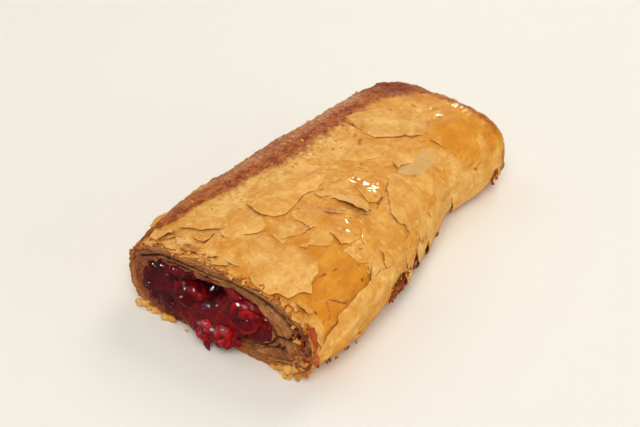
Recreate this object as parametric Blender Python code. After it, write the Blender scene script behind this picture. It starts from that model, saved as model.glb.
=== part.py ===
"""A baked cherry strudel: one flattened roll of thin pastry, cut across at its front end.

The roll lies along Y with its cut face at -Y and its closed end at +Y, flat on z = 0. The cherry
filling runs through it, and the cherries that show at the cut sit in the filling. Metres, +Z up.
"""

import math

import bmesh
import bpy
import numpy as np
from mathutils import Vector, noise

# The roll
LENGTH = 0.160
CUT_Y = -LENGTH / 2
END_Y = LENGTH / 2
END_ROUND = 0.0095  # how far before its end the roll starts to round off
END_POWER = 2.6  # 2 would round the end off as a quarter circle, and more makes it blunter
END_SQUEEZE = 0.8  # how far the end's edge draws in, as a share of END_ROUND
END_BULGE = 0.0015  # how far the closed end swells past its rounded edge
END_SHARES = (0.72, 0.40)  # sizes of the rings over the blunt end, as shares of its edge
# y, left side x, right side x and height: the hand-rolled outline, at seven places along it
STATIONS = (
    (-0.080, -0.0445, 0.0430, 0.0345),
    (-0.060, -0.0478, 0.0468, 0.0362),
    (-0.028, -0.0462, 0.0448, 0.0368),
    (0.010, -0.0428, 0.0380, 0.0368),
    (0.036, -0.0392, 0.0336, 0.0368),
    (0.062, -0.0354, 0.0372, 0.0368),
    (0.080, -0.0318, 0.0385, 0.0352),
)
BELLY = 0.42  # height of the widest place, as a share of the roll's height
SINK = 0.0020  # how much of the rounded underside the table takes away, as a flat
FOOT_INSET = 0.5  # how much an inset raises the rounded underside, as a share of it
RIGHT_TOP, RIGHT_FOOT, LEFT_TOP, LEFT_FOOT = 2.6, 3.0, 3.3, 3.2  # how square each corner is
FINE = 720  # points in a section before they are spaced evenly
AROUND = 66  # points round the skin, and round every ring inside it
ALONG = 31  # rings along the skin
END_RINGS = 5  # rings over the closed end's rounded edge
END_RINGS_LEFT = 0.6  # how much of a ring's step is left to the blunt end
BUMP = 0.00045  # depth of the skin's unevenness
BUMP_SIZE = 0.011
FINE_BUMP = 0.5  # height of the finer bumps among them, as a share of BUMP
FINE_BUMP_CLOSER = 2.6  # how much closer together the finer bumps lie
FLAT = 1e-6  # below this height the skin belongs to the flat underside

# The cut face and the hollow that the filling takes
HOLLOW_MIDDLE = (-0.0060, 0.0152)
HOLLOW_HALF = (0.0300, 0.0118)
HOLLOW_TILT = math.radians(10)
HOLLOW_POWER = 2.4
HOLLOW_END_Y = 0.060
HOLLOW_SHRINK = 0.80  # width of the hollow's far end, as a share of its width at the cut
HOLLOW_RINGS = 6
LAYERS = 7  # rolled sheets that show at the cut
LAYER_DEPTH = 0.0014  # how far the gaps between the sheets go in
LAYER_UNEVEN = 0.6  # how much that depth wanders, as a share of it
LAYER_WAVE = 0.006  # distance over which it wanders
RAGGED = 0.0010  # how unevenly the outer sheets end at the cut
RAGGED_SET_BACK = 0.5  # how far back that edge lies on the whole, as a share of RAGGED
RAGGED_WAVE = 0.004
GAP = 0.0003  # clearance between pieces that touch

# The filling's front
FRONT_RINGS = 6
FILLING_AROUND = 56
LUMP = 0.0006  # height of the jelly's lumps
LUMP_SIZE = 0.007

# Cherries at the cut: middle, half sizes and roll about Y
CHERRIES = (
    ("cherry_left", (-0.0142, -0.0790, 0.0172), (0.0080, 0.0066, 0.0062), 12),
    ("cherry_right", (0.0142, -0.0800, 0.0196), (0.0080, 0.0068, 0.0070), -28),
    ("cherry_low_left", (-0.0032, -0.0842, 0.0076), (0.0040, 0.0050, 0.0056), 20),
    ("cherry_low_right", (0.0054, -0.0840, 0.0088), (0.0042, 0.0048, 0.0054), -10),
)
CHERRY_SPREAD = 1.5  # width of the filling's swelling round a cherry, in cherry widths
CHERRY_SLOPE = 2  # how steeply that swelling falls off
CHERRY_HOLD = 0.0010  # how far past a cherry's middle the filling swells
FILLING_DIP = 0.0015  # the deepest that the filling's front sinks into the cut
CHERRY_SEGMENTS, CHERRY_RINGS = 16, 10
CHERRY_CREASE = 0.07  # depth of the wrinkles in a cooked cherry, as a share of its radius
CREASE_SCALE = 1.7  # how closely the wrinkles lie

# Torn sheets that lie on the skin: distance across from the top's middle, distance along, size across
# and along, turn in degrees, lift of the front edge, and a number that sets the tear
FLAKES = (
    (0.0220, -0.0655, 0.0270, 0.0290, 20, 0.0016, 1),
    (-0.0130, -0.0270, 0.0330, 0.0400, -22, 0.0013, 2),
    (-0.0080, -0.0545, 0.0190, 0.0180, 15, 0.0013, 3),
    (0.0215, -0.0290, 0.0230, 0.0220, 10, 0.0015, 4),
    (0.0195, -0.0155, 0.0140, 0.0110, 25, 0.0022, 5),
    (0.0170, -0.0010, 0.0170, 0.0170, 40, 0.0010, 6),
    (0.0545, -0.0480, 0.0260, 0.0540, 4, 0.0012, 7),
    (0.0350, 0.0060, 0.0280, 0.0270, -10, 0.0013, 8),
    (0.0510, 0.0230, 0.0240, 0.0360, 8, 0.0011, 9),
    (-0.0010, 0.0430, 0.0380, 0.0220, -5, 0.0011, 10),
    (0.0290, 0.0370, 0.0170, 0.0160, 25, 0.0013, 11),
    (-0.0400, -0.0600, 0.0130, 0.0120, 0, 0.0024, 12),
    (0.0165, 0.0250, 0.0130, 0.0140, 3, 0.0014, 13),
    (-0.0190, -0.0700, 0.0150, 0.0130, -12, 0.0016, 14),
    (0.0400, 0.0600, 0.0220, 0.0240, 12, 0.0010, 15),
)
FLAKE_CORNERS = 18
FLAKE_FEWEST_SIDES, FLAKE_MOST_SIDES = 4, 6
FLAKE_SPIN = 1.9  # how far each flake's sides are turned against the last one's, in radians
FLAKE_SHARP = 0.8  # 1 gives a flake straight sides, 0 makes it round
FLAKE_REACH = 1.08  # how far out the middle of a side lies, as a share of the flake's half size
FLAKE_TEAR = 0.20  # how ragged a torn edge is, as a share of its distance from the middle
TEARS = ((1.1, 1.0), (3.1, 0.8))  # how closely the wide and the small tears lie, and their depths
TEAR_STEP = 7.3  # how far apart in the noise two flakes' tears are read
FLAKE_THICK = 0.0006
FLAKE_ROOT = 0.0014  # how deep a flake's underside reaches into the roll, so that they join
FLAKE_RINGS = (0.45, 0.8, 1.0)  # rings of a flake's face, as shares of its size
FLAKE_MARGIN = 0.0005  # how far behind the cut a flake stops

# Colour and roughness of each material
CRUST = ((0.72, 0.38, 0.11, 1.0), 0.6)
JELLY = ((0.10, 0.004, 0.010, 1.0), 0.15)
FRUIT = ((0.38, 0.010, 0.015, 1.0), 0.2)
SHARP_ANGLE = math.radians(40)  # edges sharper than this are not shaded smooth


def clear_scene():
    """Removes what the startup scene holds."""
    for obj in list(bpy.data.objects):
        bpy.data.objects.remove(obj, do_unlink=True)


def make_material(name, colour, roughness):
    """A plain Principled material of the part's own colour."""
    material = bpy.data.materials.new(name)
    material.use_nodes = True
    shader = material.node_tree.nodes["Principled BSDF"]
    shader.inputs["Base Color"].default_value = colour
    shader.inputs["Roughness"].default_value = roughness
    material.diffuse_color = colour
    return material


def smooth_between(places, values, at):
    """A smooth curve through values at places, read at the number at."""
    slopes = np.gradient(values, places)
    i = int(np.clip(np.searchsorted(places, at) - 1, 0, len(places) - 2))
    step = places[i + 1] - places[i]
    t = np.clip((at - places[i]) / step, 0.0, 1.0)
    rise = values[i + 1] - values[i]
    bend_in = step * slopes[i] - rise
    bend_out = rise - step * slopes[i + 1]
    return values[i] + t * rise + t * (1 - t) * ((1 - t) * bend_in + t * bend_out)


def outline_at(y):
    """Left side, right side and height of the roll at y."""
    table = np.array(STATIONS)
    return [smooth_between(table[:, 0], table[:, column], y) for column in (1, 2, 3)]


def corner(side, rise, power):
    """The point of a superellipse of radius 1 in the direction (side, rise)."""
    return (
        np.sign(side) * np.abs(side) ** (2 / power),
        np.sign(rise) * np.abs(rise) ** (2 / power),
    )


def fine_section(y, inset=0.0):
    """Many points (x, z) round the skin at y, clockwise from the top's middle as seen from the cut."""
    left, right, height = outline_at(y)
    left, right, height = left + inset, right - inset, height - inset
    middle = (left + right) / 2
    turn = np.linspace(0, 2 * np.pi, FINE, endpoint=False)
    side, rise = np.sin(turn), np.cos(turn)
    top_power = np.where(side > 0, RIGHT_TOP, LEFT_TOP)
    foot_power = np.where(side > 0, RIGHT_FOOT, LEFT_FOOT)
    across, up = corner(side, rise, np.where(rise > 0, top_power, foot_power))
    belly = BELLY * height
    foot = belly + SINK - FOOT_INSET * inset
    x = middle + across * (right - left) / 2
    z = belly + up * np.where(up > 0, height - belly, foot)
    return np.stack([x, np.maximum(z, 0.0)], axis=1)


def measured(points):
    """A closed line with its first point repeated, and the length along it at each point."""
    closed = np.vstack([points, points[:1]])
    steps = np.linalg.norm(np.diff(closed, axis=0), axis=1)
    return closed, np.concatenate([[0.0], np.cumsum(steps)])


def evenly(points, count):
    """count points spaced evenly along a closed line."""
    closed, lengths = measured(points)
    wanted = np.arange(count) / count * lengths[-1]
    return np.stack([np.interp(wanted, lengths, closed[:, k]) for k in (0, 1)], axis=1)


def on_roll(across, y, height):
    """The point height above the skin at a distance across, measured round it from the top's middle."""
    closed, lengths = measured(fine_section(y))
    reach = lengths[1]
    here, before, after = (
        [np.interp((across + d) % lengths[-1], lengths, closed[:, k]) for k in (0, 1)]
        for d in (0.0, -reach, reach)
    )
    forward = Vector((after[0] - before[0], after[1] - before[1])).normalized()
    return Vector((here[0] - forward.y * height, y, here[1] + forward.x * height))


def roughened(point, outward):
    """The point moved a little outward or inward, but never off the flat underside."""
    if point.z < FLAT:
        return point
    coarse = noise.noise(point / BUMP_SIZE)
    fine = noise.noise(point * FINE_BUMP_CLOSER / BUMP_SIZE)
    moved = point + outward * BUMP * (coarse + FINE_BUMP * fine)
    moved.z = max(moved.z, 0.0)
    return moved


def ring_vertices(bm, ring):
    """Vertices of one ring of points."""
    return [bm.verts.new(point) for point in ring]


def join_rings(bm, rings):
    """Faces between each ring of vertices and the next. They face out where the rings run
    clockwise as seen from the first one."""
    for first, second in zip(rings, rings[1:]):
        for i in range(len(first)):
            j = (i + 1) % len(first)
            bm.faces.new((first[i], first[j], second[j], second[i]))


def fan(bm, ring, point):
    """Closes a ring of vertices with triangles to one point."""
    tip = bm.verts.new(point)
    for i in range(len(ring)):
        bm.faces.new((ring[i], ring[(i + 1) % len(ring)], tip))


def finished(bm, name, material):
    """An object made from the mesh, with its faces pointing out and shaded smooth."""
    bmesh.ops.recalc_face_normals(bm, faces=bm.faces)
    mesh = bpy.data.meshes.new(name)
    bm.to_mesh(mesh)
    bm.free()
    mesh.materials.append(material)
    mesh.shade_smooth()
    mesh.set_sharp_from_angle(angle=SHARP_ANGLE)
    obj = bpy.data.objects.new(name, mesh)
    bpy.context.scene.collection.objects.link(obj)
    return obj


def skin_ring(y, inset=0.0):
    """One ring of the skin, with its relief."""
    flat = evenly(fine_section(y, inset), AROUND)
    middle = flat.mean(axis=0)
    ring = []
    for x, z in flat:
        outward = Vector((x - middle[0], 0.0, z - middle[1])).normalized()
        ring.append(roughened(Vector((x, y, z)), outward))
    return ring


def ragged(ring):
    """The cut's outer edge, with the sheets ending a little unevenly."""
    for point in ring:
        tear = noise.noise(Vector((point.x, point.z, CUT_Y)) / RAGGED_WAVE)
        point.y += RAGGED * (RAGGED_SET_BACK + tear)
    return ring


def skin_rings():
    """The outer skin's rings, from the cut to the closed end."""
    straight = END_Y - END_ROUND
    rings = [skin_ring(y) for y in np.linspace(CUT_Y, straight, ALONG)]
    ragged(rings[0])
    for step in range(1, END_RINGS + 1):
        turn = math.pi / 2 * step / (END_RINGS + END_RINGS_LEFT)
        y = straight + END_ROUND * math.sin(turn)
        inset = END_SQUEEZE * END_ROUND * (1 - math.cos(turn) ** (2 / END_POWER))
        rings.append(skin_ring(y, inset))
    return rings


def closed_end(bm, ring):
    """The blunt end: rings that shrink to the middle of the last one, swelling slightly."""
    points = [v.co.copy() for v in ring]
    middle = sum(points, Vector()) / len(points)
    rings = [ring]
    for share in END_SHARES:
        push = Vector((0.0, END_BULGE * (1 - share * share), 0.0))
        rings.append(ring_vertices(bm, [middle.lerp(p, share) + push for p in points]))
    join_rings(bm, rings)
    fan(bm, rings[-1], middle + Vector((0.0, END_BULGE, 0.0)))


def hollow_section(y, count, inset=0.0):
    """Points (x, z) round the filling's space at y, from its top clockwise."""
    share = np.clip((y - CUT_Y) / (HOLLOW_END_Y - CUT_Y), 0.0, 1.0)
    scale = 1 + (HOLLOW_SHRINK - 1) * share
    half_x, half_z = (half * scale - inset for half in HOLLOW_HALF)
    turn = np.linspace(0, 2 * np.pi, FINE, endpoint=False)
    across, up = corner(np.sin(turn), np.cos(turn), HOLLOW_POWER)
    x, z = across * half_x, up * half_z
    tilted = np.stack(
        [
            HOLLOW_MIDDLE[0] + x * math.cos(HOLLOW_TILT) - z * math.sin(HOLLOW_TILT),
            HOLLOW_MIDDLE[1] + x * math.sin(HOLLOW_TILT) + z * math.cos(HOLLOW_TILT),
        ],
        axis=1,
    )
    return evenly(tilted, count)


def cut_rings(outer):
    """Rings of the cut face, from the skin in to the hollow, stepped like the edges of rolled sheets."""
    inner = [Vector((x, CUT_Y, z)) for x, z in hollow_section(CUT_Y, AROUND)]
    steps = 2 * LAYERS
    rings = []
    for step in range(1, steps):
        ring = []
        for edge, rim in zip(outer, inner):
            place = Vector((edge.x, CUT_Y, edge.z)).lerp(rim, step / steps)
            wander = noise.noise((place + Vector((0.0, place.z, 0.0))) / LAYER_WAVE)
            place.y += LAYER_DEPTH * (step % 2 + LAYER_UNEVEN * wander) * (1 - LAYER_UNEVEN / 2)
            ring.append(place)
        rings.append(ring)
    return [*rings, inner]


def hollow_rings():
    """Rings of the filling's space, from the cut back to its end."""
    return [
        [Vector((x, y, z)) for x, z in hollow_section(y, AROUND)]
        for y in np.linspace(CUT_Y, HOLLOW_END_Y, HOLLOW_RINGS)[1:]
    ]


def make_roll(material):
    """The pastry without its flakes: skin, cut face and hollow, as one closed body."""
    bm = bmesh.new()
    skin = skin_rings()
    inside = [*reversed(hollow_rings()), *reversed(cut_rings(skin[0]))]
    rings = [ring_vertices(bm, ring) for ring in [*inside, *skin]]
    join_rings(bm, rings)
    closed_end(bm, rings[-1])
    back = rings[0]
    fan(bm, list(reversed(back)), sum((v.co for v in back), Vector()) / len(back))
    return finished(bm, "pastry", material)


def torn_edge(number, angle):
    """How far out a flake's edge lies in one direction, as a share of its half size. Flakes break
    along nearly straight lines, so each is an uneven polygon of a few sides."""
    sides = FLAKE_FEWEST_SIDES + number % (FLAKE_MOST_SIDES - FLAKE_FEWEST_SIDES + 1)
    turned = angle + FLAKE_SPIN * number
    half_side = math.pi / sides
    straight = math.cos(half_side) / math.cos(turned % (2 * half_side) - half_side)
    where = Vector((math.cos(angle), math.sin(angle), TEAR_STEP * number))
    tear = sum(depth * noise.noise(where * scale) for scale, depth in TEARS)
    return FLAKE_REACH * straight**FLAKE_SHARP + FLAKE_TEAR * tear


def flake_point(place, angle, share, upper):
    """A point of a flake's upper face or of its root, at a share of its size in one direction."""
    across, along, wide, long_, turn, lift, number = place
    turn = math.radians(turn)
    reach = share * torn_edge(number, angle)
    local_x = math.cos(angle) * reach * wide / 2
    local_y = math.sin(angle) * reach * long_ / 2
    sideways = across + local_x * math.cos(turn) - local_y * math.sin(turn)
    y = along + local_x * math.sin(turn) + local_y * math.cos(turn)
    front = max(0.0, -math.sin(angle)) * share**3
    height = FLAKE_THICK + lift * front if upper else -FLAKE_ROOT
    return on_roll(sideways, max(y, CUT_Y + FLAKE_MARGIN), height)


def make_flake(place, material):
    """One torn sheet as a thin solid that follows the roll, its root just inside the skin."""
    angles = [2 * math.pi * i / FLAKE_CORNERS for i in range(FLAKE_CORNERS)]
    bm = bmesh.new()
    edges = []
    for upper in (True, False):
        rings = [
            ring_vertices(bm, [flake_point(place, angle, share, upper) for angle in angles])
            for share in FLAKE_RINGS
        ]
        join_rings(bm, rings)
        fan(bm, rings[0], flake_point(place, 0.0, 0.0, upper))
        edges.append(rings[-1])
    join_rings(bm, edges)
    return finished(bm, f"flake_{place[-1]}", material)


def join_flakes(roll, flakes):
    """Fuses the flakes with the roll into one solid, and removes them."""
    collection = bpy.data.collections.new("flakes")
    bpy.context.scene.collection.children.link(collection)
    for flake in flakes:
        bpy.context.scene.collection.objects.unlink(flake)
        collection.objects.link(flake)
    union = roll.modifiers.new("flakes", "BOOLEAN")
    union.operation = "UNION"
    union.operand_type = "COLLECTION"
    union.collection = collection
    union.solver = "EXACT"
    bpy.context.view_layer.objects.active = roll
    bpy.ops.object.modifier_apply(modifier=union.name)
    for flake in list(collection.objects):
        bpy.data.objects.remove(flake, do_unlink=True)
    bpy.data.collections.remove(collection)
    roll.data.set_sharp_from_angle(angle=SHARP_ANGLE)


def swell(x, z):
    """How far the filling stands out of the cut at a place on its front."""
    out = LUMP * noise.noise(Vector((x, 0.0, z)) / LUMP_SIZE)
    for _, (cx, cy, cz), (rx, _, rz), _ in CHERRIES:
        distance = math.hypot(x - cx, z - cz) / (CHERRY_SPREAD * (rx + rz) / 2)
        seat = max(CUT_Y - cy + CHERRY_HOLD, -FILLING_DIP)
        out += seat * math.exp(-CHERRY_SLOPE * distance * distance)
    return out


def make_filling(material):
    """The cherry filling, which runs through the roll and swells out of the cut."""
    bm = bmesh.new()
    rims = [
        [Vector((x, y, z)) for x, z in hollow_section(y, FILLING_AROUND, GAP)]
        for y in np.linspace(HOLLOW_END_Y - GAP, CUT_Y - GAP, HOLLOW_RINGS)
    ]
    front = rims[-1]
    middle = sum(front, Vector()) / len(front)
    for step in range(1, FRONT_RINGS):
        ring = []
        for point in front:
            place = point.lerp(middle, step / FRONT_RINGS)
            place.y = CUT_Y - GAP - swell(place.x, place.z)
            ring.append(place)
        rims.append(ring)
    rings = [ring_vertices(bm, ring) for ring in rims]
    join_rings(bm, rings)
    back = rings[0]
    fan(bm, list(reversed(back)), sum((v.co for v in back), Vector()) / len(back))
    fan(bm, rings[-1], Vector((middle.x, CUT_Y - GAP - swell(middle.x, middle.z), middle.z)))
    return finished(bm, "cherry_filling", material)


def make_cherry(name, middle, half, roll, material, grow=0.0):
    """A cooked, pitted cherry: a wrinkled ellipsoid. A grown one cuts the cherry's seat."""
    bm = bmesh.new()
    bmesh.ops.create_uvsphere(
        bm, u_segments=CHERRY_SEGMENTS, v_segments=CHERRY_RINGS, radius=1.0
    )
    for vertex in bm.verts:
        crease = noise.noise(vertex.co * CREASE_SCALE + Vector(middle) / min(half))
        reach = 1.0 + CHERRY_CREASE * crease
        vertex.co = Vector([c * (reach * h + grow) for c, h in zip(vertex.co, half)])
    cherry = finished(bm, name, material)
    cherry.location = middle
    cherry.rotation_euler = (0.0, math.radians(roll), 0.0)
    return cherry


def seat_cherries(body):
    """Cuts the cherries' seats into a solid, a little larger than the cherries."""
    for name, middle, half, roll in CHERRIES:
        cutter = make_cherry(f"seat_{name}", middle, half, roll, None, GAP)
        cutter.hide_render = True
        cutter.display_type = "WIRE"
        cut = body.modifiers.new(cutter.name, "BOOLEAN")
        cut.operation = "DIFFERENCE"
        cut.object = cutter
        cut.solver = "EXACT"


def build():
    """Makes every piece of the strudel."""
    clear_scene()
    crust = make_material("crust", *CRUST)
    jelly = make_material("jelly", *JELLY)
    fruit = make_material("fruit", *FRUIT)
    pastry = make_roll(crust)
    join_flakes(pastry, [make_flake(place, crust) for place in FLAKES])
    filling = make_filling(jelly)
    seat_cherries(filling)
    for name, middle, half, roll in CHERRIES:
        make_cherry(name, middle, half, roll, fruit)


build()
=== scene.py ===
import itertools
import math

import bpy
import numpy as np
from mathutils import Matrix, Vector
from mathutils import noise as blender_noise
from mathutils.geometry import delaunay_2d_cdt


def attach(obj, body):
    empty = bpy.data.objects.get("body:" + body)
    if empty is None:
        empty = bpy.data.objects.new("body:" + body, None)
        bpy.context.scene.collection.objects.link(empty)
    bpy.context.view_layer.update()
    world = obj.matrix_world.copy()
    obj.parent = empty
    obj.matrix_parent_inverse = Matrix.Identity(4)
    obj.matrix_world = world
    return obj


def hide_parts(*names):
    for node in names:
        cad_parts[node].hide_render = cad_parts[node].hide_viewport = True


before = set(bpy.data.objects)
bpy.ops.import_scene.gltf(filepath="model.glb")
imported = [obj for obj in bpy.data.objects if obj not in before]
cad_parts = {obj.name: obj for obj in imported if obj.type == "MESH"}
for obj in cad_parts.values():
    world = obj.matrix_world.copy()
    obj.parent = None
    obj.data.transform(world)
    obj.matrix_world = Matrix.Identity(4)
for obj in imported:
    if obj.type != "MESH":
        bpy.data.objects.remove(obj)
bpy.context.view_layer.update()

# Everything below is in millimetres, in the CAD's frame: +Y along the roll, its cut face at -Y, +Z up.
# Places on the skin are (across, along): across is measured round the skin from the top's middle,
# plus to the right as seen from the cut, and along is y, which goes on over the closed end.
MM = 0.001

# The roll, as in the CAD
CUT_Y, END_Y = -80.0, 80.0
END_ROUND, END_POWER, END_SQUEEZE, END_BULGE = 9.5, 2.6, 0.8, 1.5
END_TURN = math.pi / 2 * 5 / 5.6
STATIONS = np.array(
    (
        (-80.0, -44.5, 43.0, 34.5),
        (-60.0, -47.8, 46.8, 36.2),
        (-28.0, -46.2, 44.8, 36.8),
        (10.0, -42.8, 38.0, 36.8),
        (36.0, -39.2, 33.6, 36.8),
        (62.0, -35.4, 37.2, 36.8),
        (80.0, -31.8, 38.5, 35.2),
    )
)
BELLY, SINK = 0.42, 2.0
RIGHT_TOP, RIGHT_FOOT, LEFT_TOP, LEFT_FOOT = 2.6, 3.0, 3.3, 3.2
HOLLOW_MIDDLE, HOLLOW_HALF = (-6.0, 15.2), (30.0, 11.8)
HOLLOW_TILT, HOLLOW_POWER = math.radians(10), 2.4
HOLLOW_END_Y, HOLLOW_SHRINK = 60.0, 0.80
FINE = 720

# The fine skin
AROUND = 400
STRAIGHT_ROWS, END_ROWS, CAP_ROWS = 205, 16, 16
UNDERSIDE_SHARE = 0.30  # how densely the underside is meshed, as a share of the rest
BUMP, BUMP_SIZE = 0.45, 11.0
RECESS = 7.0  # depth of the recess that holds the layers of the cut
WALL = 0.9  # thickness of the outermost sheets round that recess
OVERHANG_DROOP = 0.10  # how a sheet bends down where it reaches past the cut


# ---------------------------------------------------------------- noise and small helpers


def smooth(low, high, value):
    """0 below low and 1 above high, with a soft step between."""
    t = np.clip((np.asarray(value, float) - low) / (high - low), 0.0, 1.0)
    return t * t * (3 - 2 * t)


def hashed(cell, seed):
    """A repeatable value from -1 to 1 for each whole-numbered cell."""
    mixed = cell[:, 0] * 73856093 ^ cell[:, 1] * 19349663 ^ cell[:, 2] * 83492791 ^ seed * 40503
    mixed = (mixed ^ (mixed >> 13)) * 1274126177 & 0xFFFFFFFF
    mixed = (mixed ^ (mixed >> 15)) * 2246822519 & 0xFFFFFFFF
    return ((mixed >> 12) & 0xFFFF) / 32767.5 - 1.0


def noise(points, size, seed=0):
    """Smooth noise from -1 to 1 at many points, with lumps about size apart."""
    scaled = np.asarray(points, float) / size + 911.7
    base = np.floor(scaled).astype(np.int64)
    t = scaled - base
    t = t * t * (3 - 2 * t)
    total = np.zeros(len(scaled))
    for step in itertools.product((0, 1), repeat=3):
        weight = np.prod(np.where(step, t, 1 - t), axis=1)
        total += weight * hashed(base + np.array(step), seed)
    return total


def fractal(points, size, seed=0, octaves=3):
    """Noise with finer noise on it."""
    size = np.asarray(size, float)
    total = sum(noise(points, size / 2**k, seed + k) / 1.8**k for k in range(octaves))
    return total / sum(1.8**-k for k in range(octaves))


def flat_points(*columns):
    """Columns of numbers as points, with zeros for the columns that are missing."""
    columns = [np.asarray(c, float).ravel() for c in columns]
    columns += [np.zeros_like(columns[0])] * (3 - len(columns))
    return np.stack(columns, axis=1)


def unit(vectors):
    """Vectors at length 1."""
    return vectors / np.maximum(np.linalg.norm(vectors, axis=-1, keepdims=True), 1e-9)


def bell(*offsets):
    """1 where every offset is 0, falling softly to 0 away from there."""
    return np.exp(-sum(offset**2 for offset in offsets))


def between(value, low, risen, high, gone):
    """1 between risen and high, 0 below low and above gone, with soft steps."""
    return smooth(low, risen, value) * (1 - smooth(high, gone, value))


# ---------------------------------------------------------------- the roll's own shape


def smooth_between(places, values, at):
    """The CAD's smooth curve through values at places, read at the number at."""
    slopes = np.gradient(values, places)
    i = int(np.clip(np.searchsorted(places, at) - 1, 0, len(places) - 2))
    step = places[i + 1] - places[i]
    t = np.clip((at - places[i]) / step, 0.0, 1.0)
    rise = values[i + 1] - values[i]
    bend_in = step * slopes[i] - rise
    bend_out = rise - step * slopes[i + 1]
    return values[i] + t * rise + t * (1 - t) * ((1 - t) * bend_in + t * bend_out)


def corner(side, rise, power):
    """The point of a superellipse of radius 1 in the direction (side, rise)."""
    return np.sign(side) * np.abs(side) ** (2 / power), np.sign(rise) * np.abs(rise) ** (2 / power)


def section(y, inset=0.0):
    """Many points (x, z) round the skin at y, clockwise from the top's middle."""
    left, right, height = (smooth_between(STATIONS[:, 0], STATIONS[:, k], y) for k in (1, 2, 3))
    left, right, height = left + inset, right - inset, height - inset
    turn = np.linspace(0, 2 * np.pi, FINE, endpoint=False)
    side, rise = np.sin(turn), np.cos(turn)
    top_power = np.where(side > 0, RIGHT_TOP, LEFT_TOP)
    foot_power = np.where(side > 0, RIGHT_FOOT, LEFT_FOOT)
    across, up = corner(side, rise, np.where(rise > 0, top_power, foot_power))
    belly = BELLY * height
    foot = belly + SINK - 0.5 * inset
    x = (left + right) / 2 + across * (right - left) / 2
    z = belly + up * np.where(up > 0, height - belly, foot)
    return np.stack([x, np.maximum(z, 0.0)], axis=1)


def hollow(y, inset=0.0):
    """Many points (x, z) round the filling's space at y, from its top clockwise."""
    share = np.clip((y - CUT_Y) / (HOLLOW_END_Y - CUT_Y), 0.0, 1.0)
    scale = 1 + (HOLLOW_SHRINK - 1) * share
    half_x, half_z = (half * scale - inset for half in HOLLOW_HALF)
    turn = np.linspace(0, 2 * np.pi, FINE, endpoint=False)
    across, up = corner(np.sin(turn), np.cos(turn), HOLLOW_POWER)
    x, z = across * half_x, up * half_z
    return np.stack(
        [
            HOLLOW_MIDDLE[0] + x * math.cos(HOLLOW_TILT) - z * math.sin(HOLLOW_TILT),
            HOLLOW_MIDDLE[1] + x * math.sin(HOLLOW_TILT) + z * math.cos(HOLLOW_TILT),
        ],
        axis=1,
    )


def spread(points, shares):
    """Points at given shares of a closed line's length, and that length."""
    closed = np.vstack([points, points[:1]])
    lengths = np.concatenate([[0.0], np.cumsum(np.linalg.norm(np.diff(closed, axis=0), axis=1))])
    wanted = shares * lengths[-1]
    return np.stack([np.interp(wanted, lengths, closed[:, k]) for k in (0, 1)], axis=1), lengths[-1]


def ring_shares(count):
    """Shares of the way round a ring: close together, but further apart on the underside."""
    fine = np.linspace(0, 1, 4001)
    under = smooth(0.30, 0.36, fine) * (1 - smooth(0.64, 0.70, fine))
    density = 1 - (1 - UNDERSIDE_SHARE) * under
    reach = np.concatenate([[0.0], np.cumsum((density[1:] + density[:-1]) / 2)])
    return np.interp(np.arange(count) / count, reach / reach[-1], fine)


SHARES = ring_shares(AROUND)


def at_height(points_xz, y):
    """Points (x, z) as points (x, y, z)."""
    return np.insert(points_xz, 1, y, axis=1)


def skin_grid():
    """The bare skin as rows of points, with each point's across and along."""
    straight = END_Y - END_ROUND
    rows, across, along = [], [], []

    def add(ring, length, at):
        rows.append(ring)
        across.append(np.where(SHARES < 0.5, SHARES, SHARES - 1) * length)
        along.append(at)

    for y in np.linspace(CUT_Y, straight, STRAIGHT_ROWS):
        ring, length = spread(section(y), SHARES)
        add(at_height(ring, y), length, y)
    for turn in np.linspace(0, END_TURN, END_ROWS + 1)[1:]:
        inset = END_SQUEEZE * END_ROUND * (1 - math.cos(turn) ** (2 / END_POWER))
        y = straight + END_ROUND * math.sin(turn)
        ring, length = spread(section(y, inset), SHARES)
        ring = at_height(ring, y)
        add(ring, length, along[-1] + np.linalg.norm(ring[0] - rows[-1][0]))
    edge, length = rows[-1], spread(section(END_Y), SHARES)[1]
    middle = edge.mean(axis=0)
    for share in np.linspace(1, 0.04, CAP_ROWS + 1)[1:]:
        push = np.array((0.0, END_BULGE * (1 - share * share), 0.0))
        ring = middle + (edge - middle) * share + push
        add(ring, length, along[-1] + np.linalg.norm(ring[0] - rows[-1][0]))
    return np.array(rows), np.array(across), np.array(along)[:, None] * np.ones(AROUND)


def grid_normals(rows):
    """Outward normals of a grid of rings."""
    along = np.gradient(rows, axis=0)
    around = (np.roll(rows, -1, axis=1) - np.roll(rows, 1, axis=1)) / 2
    return unit(np.cross(around, along))


# ---------------------------------------------------------------- browning and relief of the skin

# The browned rough strip along the left edge: its inner border, as across at places along
STRIP_ALONG = (-80, -72, -57, -35, -12, 17, 38, 57, 72)
STRIP_INNER = (-39, -38, -31, -25.5, -19.5, -16, -15, -13, -9)
STRIP_WIDTH = 15.0


def strip_mask(across, along):
    """1 on the browned strip along the left edge, and 0 away from it."""
    inner = np.interp(along, STRIP_ALONG, STRIP_INNER)
    place = flat_points(across, along)
    wander = (2.6 * fractal(place, (8.0, 14.0, 1.0), 21)).reshape(across.shape)
    patches = (0.95 + 0.4 * fractal(place, (7.0, 10.0, 1.0), 22)).reshape(across.shape)
    depth = inner + wander - across
    crisp = (1 - smooth(-60, -30, along)) * np.ones(across.shape)
    wide = smooth(-9 + 7 * crisp, 0, depth)
    narrow = smooth(-2.5 + 1.5 * crisp, 5.5 - 2.5 * crisp, depth)
    soft = 0.40 * wide + 0.60 * narrow
    return np.clip(soft * patches, 0, 1) * (1 - 0.6 * smooth(STRIP_WIDTH, STRIP_WIDTH + 16, depth))


def end_mask(along):
    """How much a place belongs to the closed end."""
    return smooth(58, 78, along)


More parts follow.
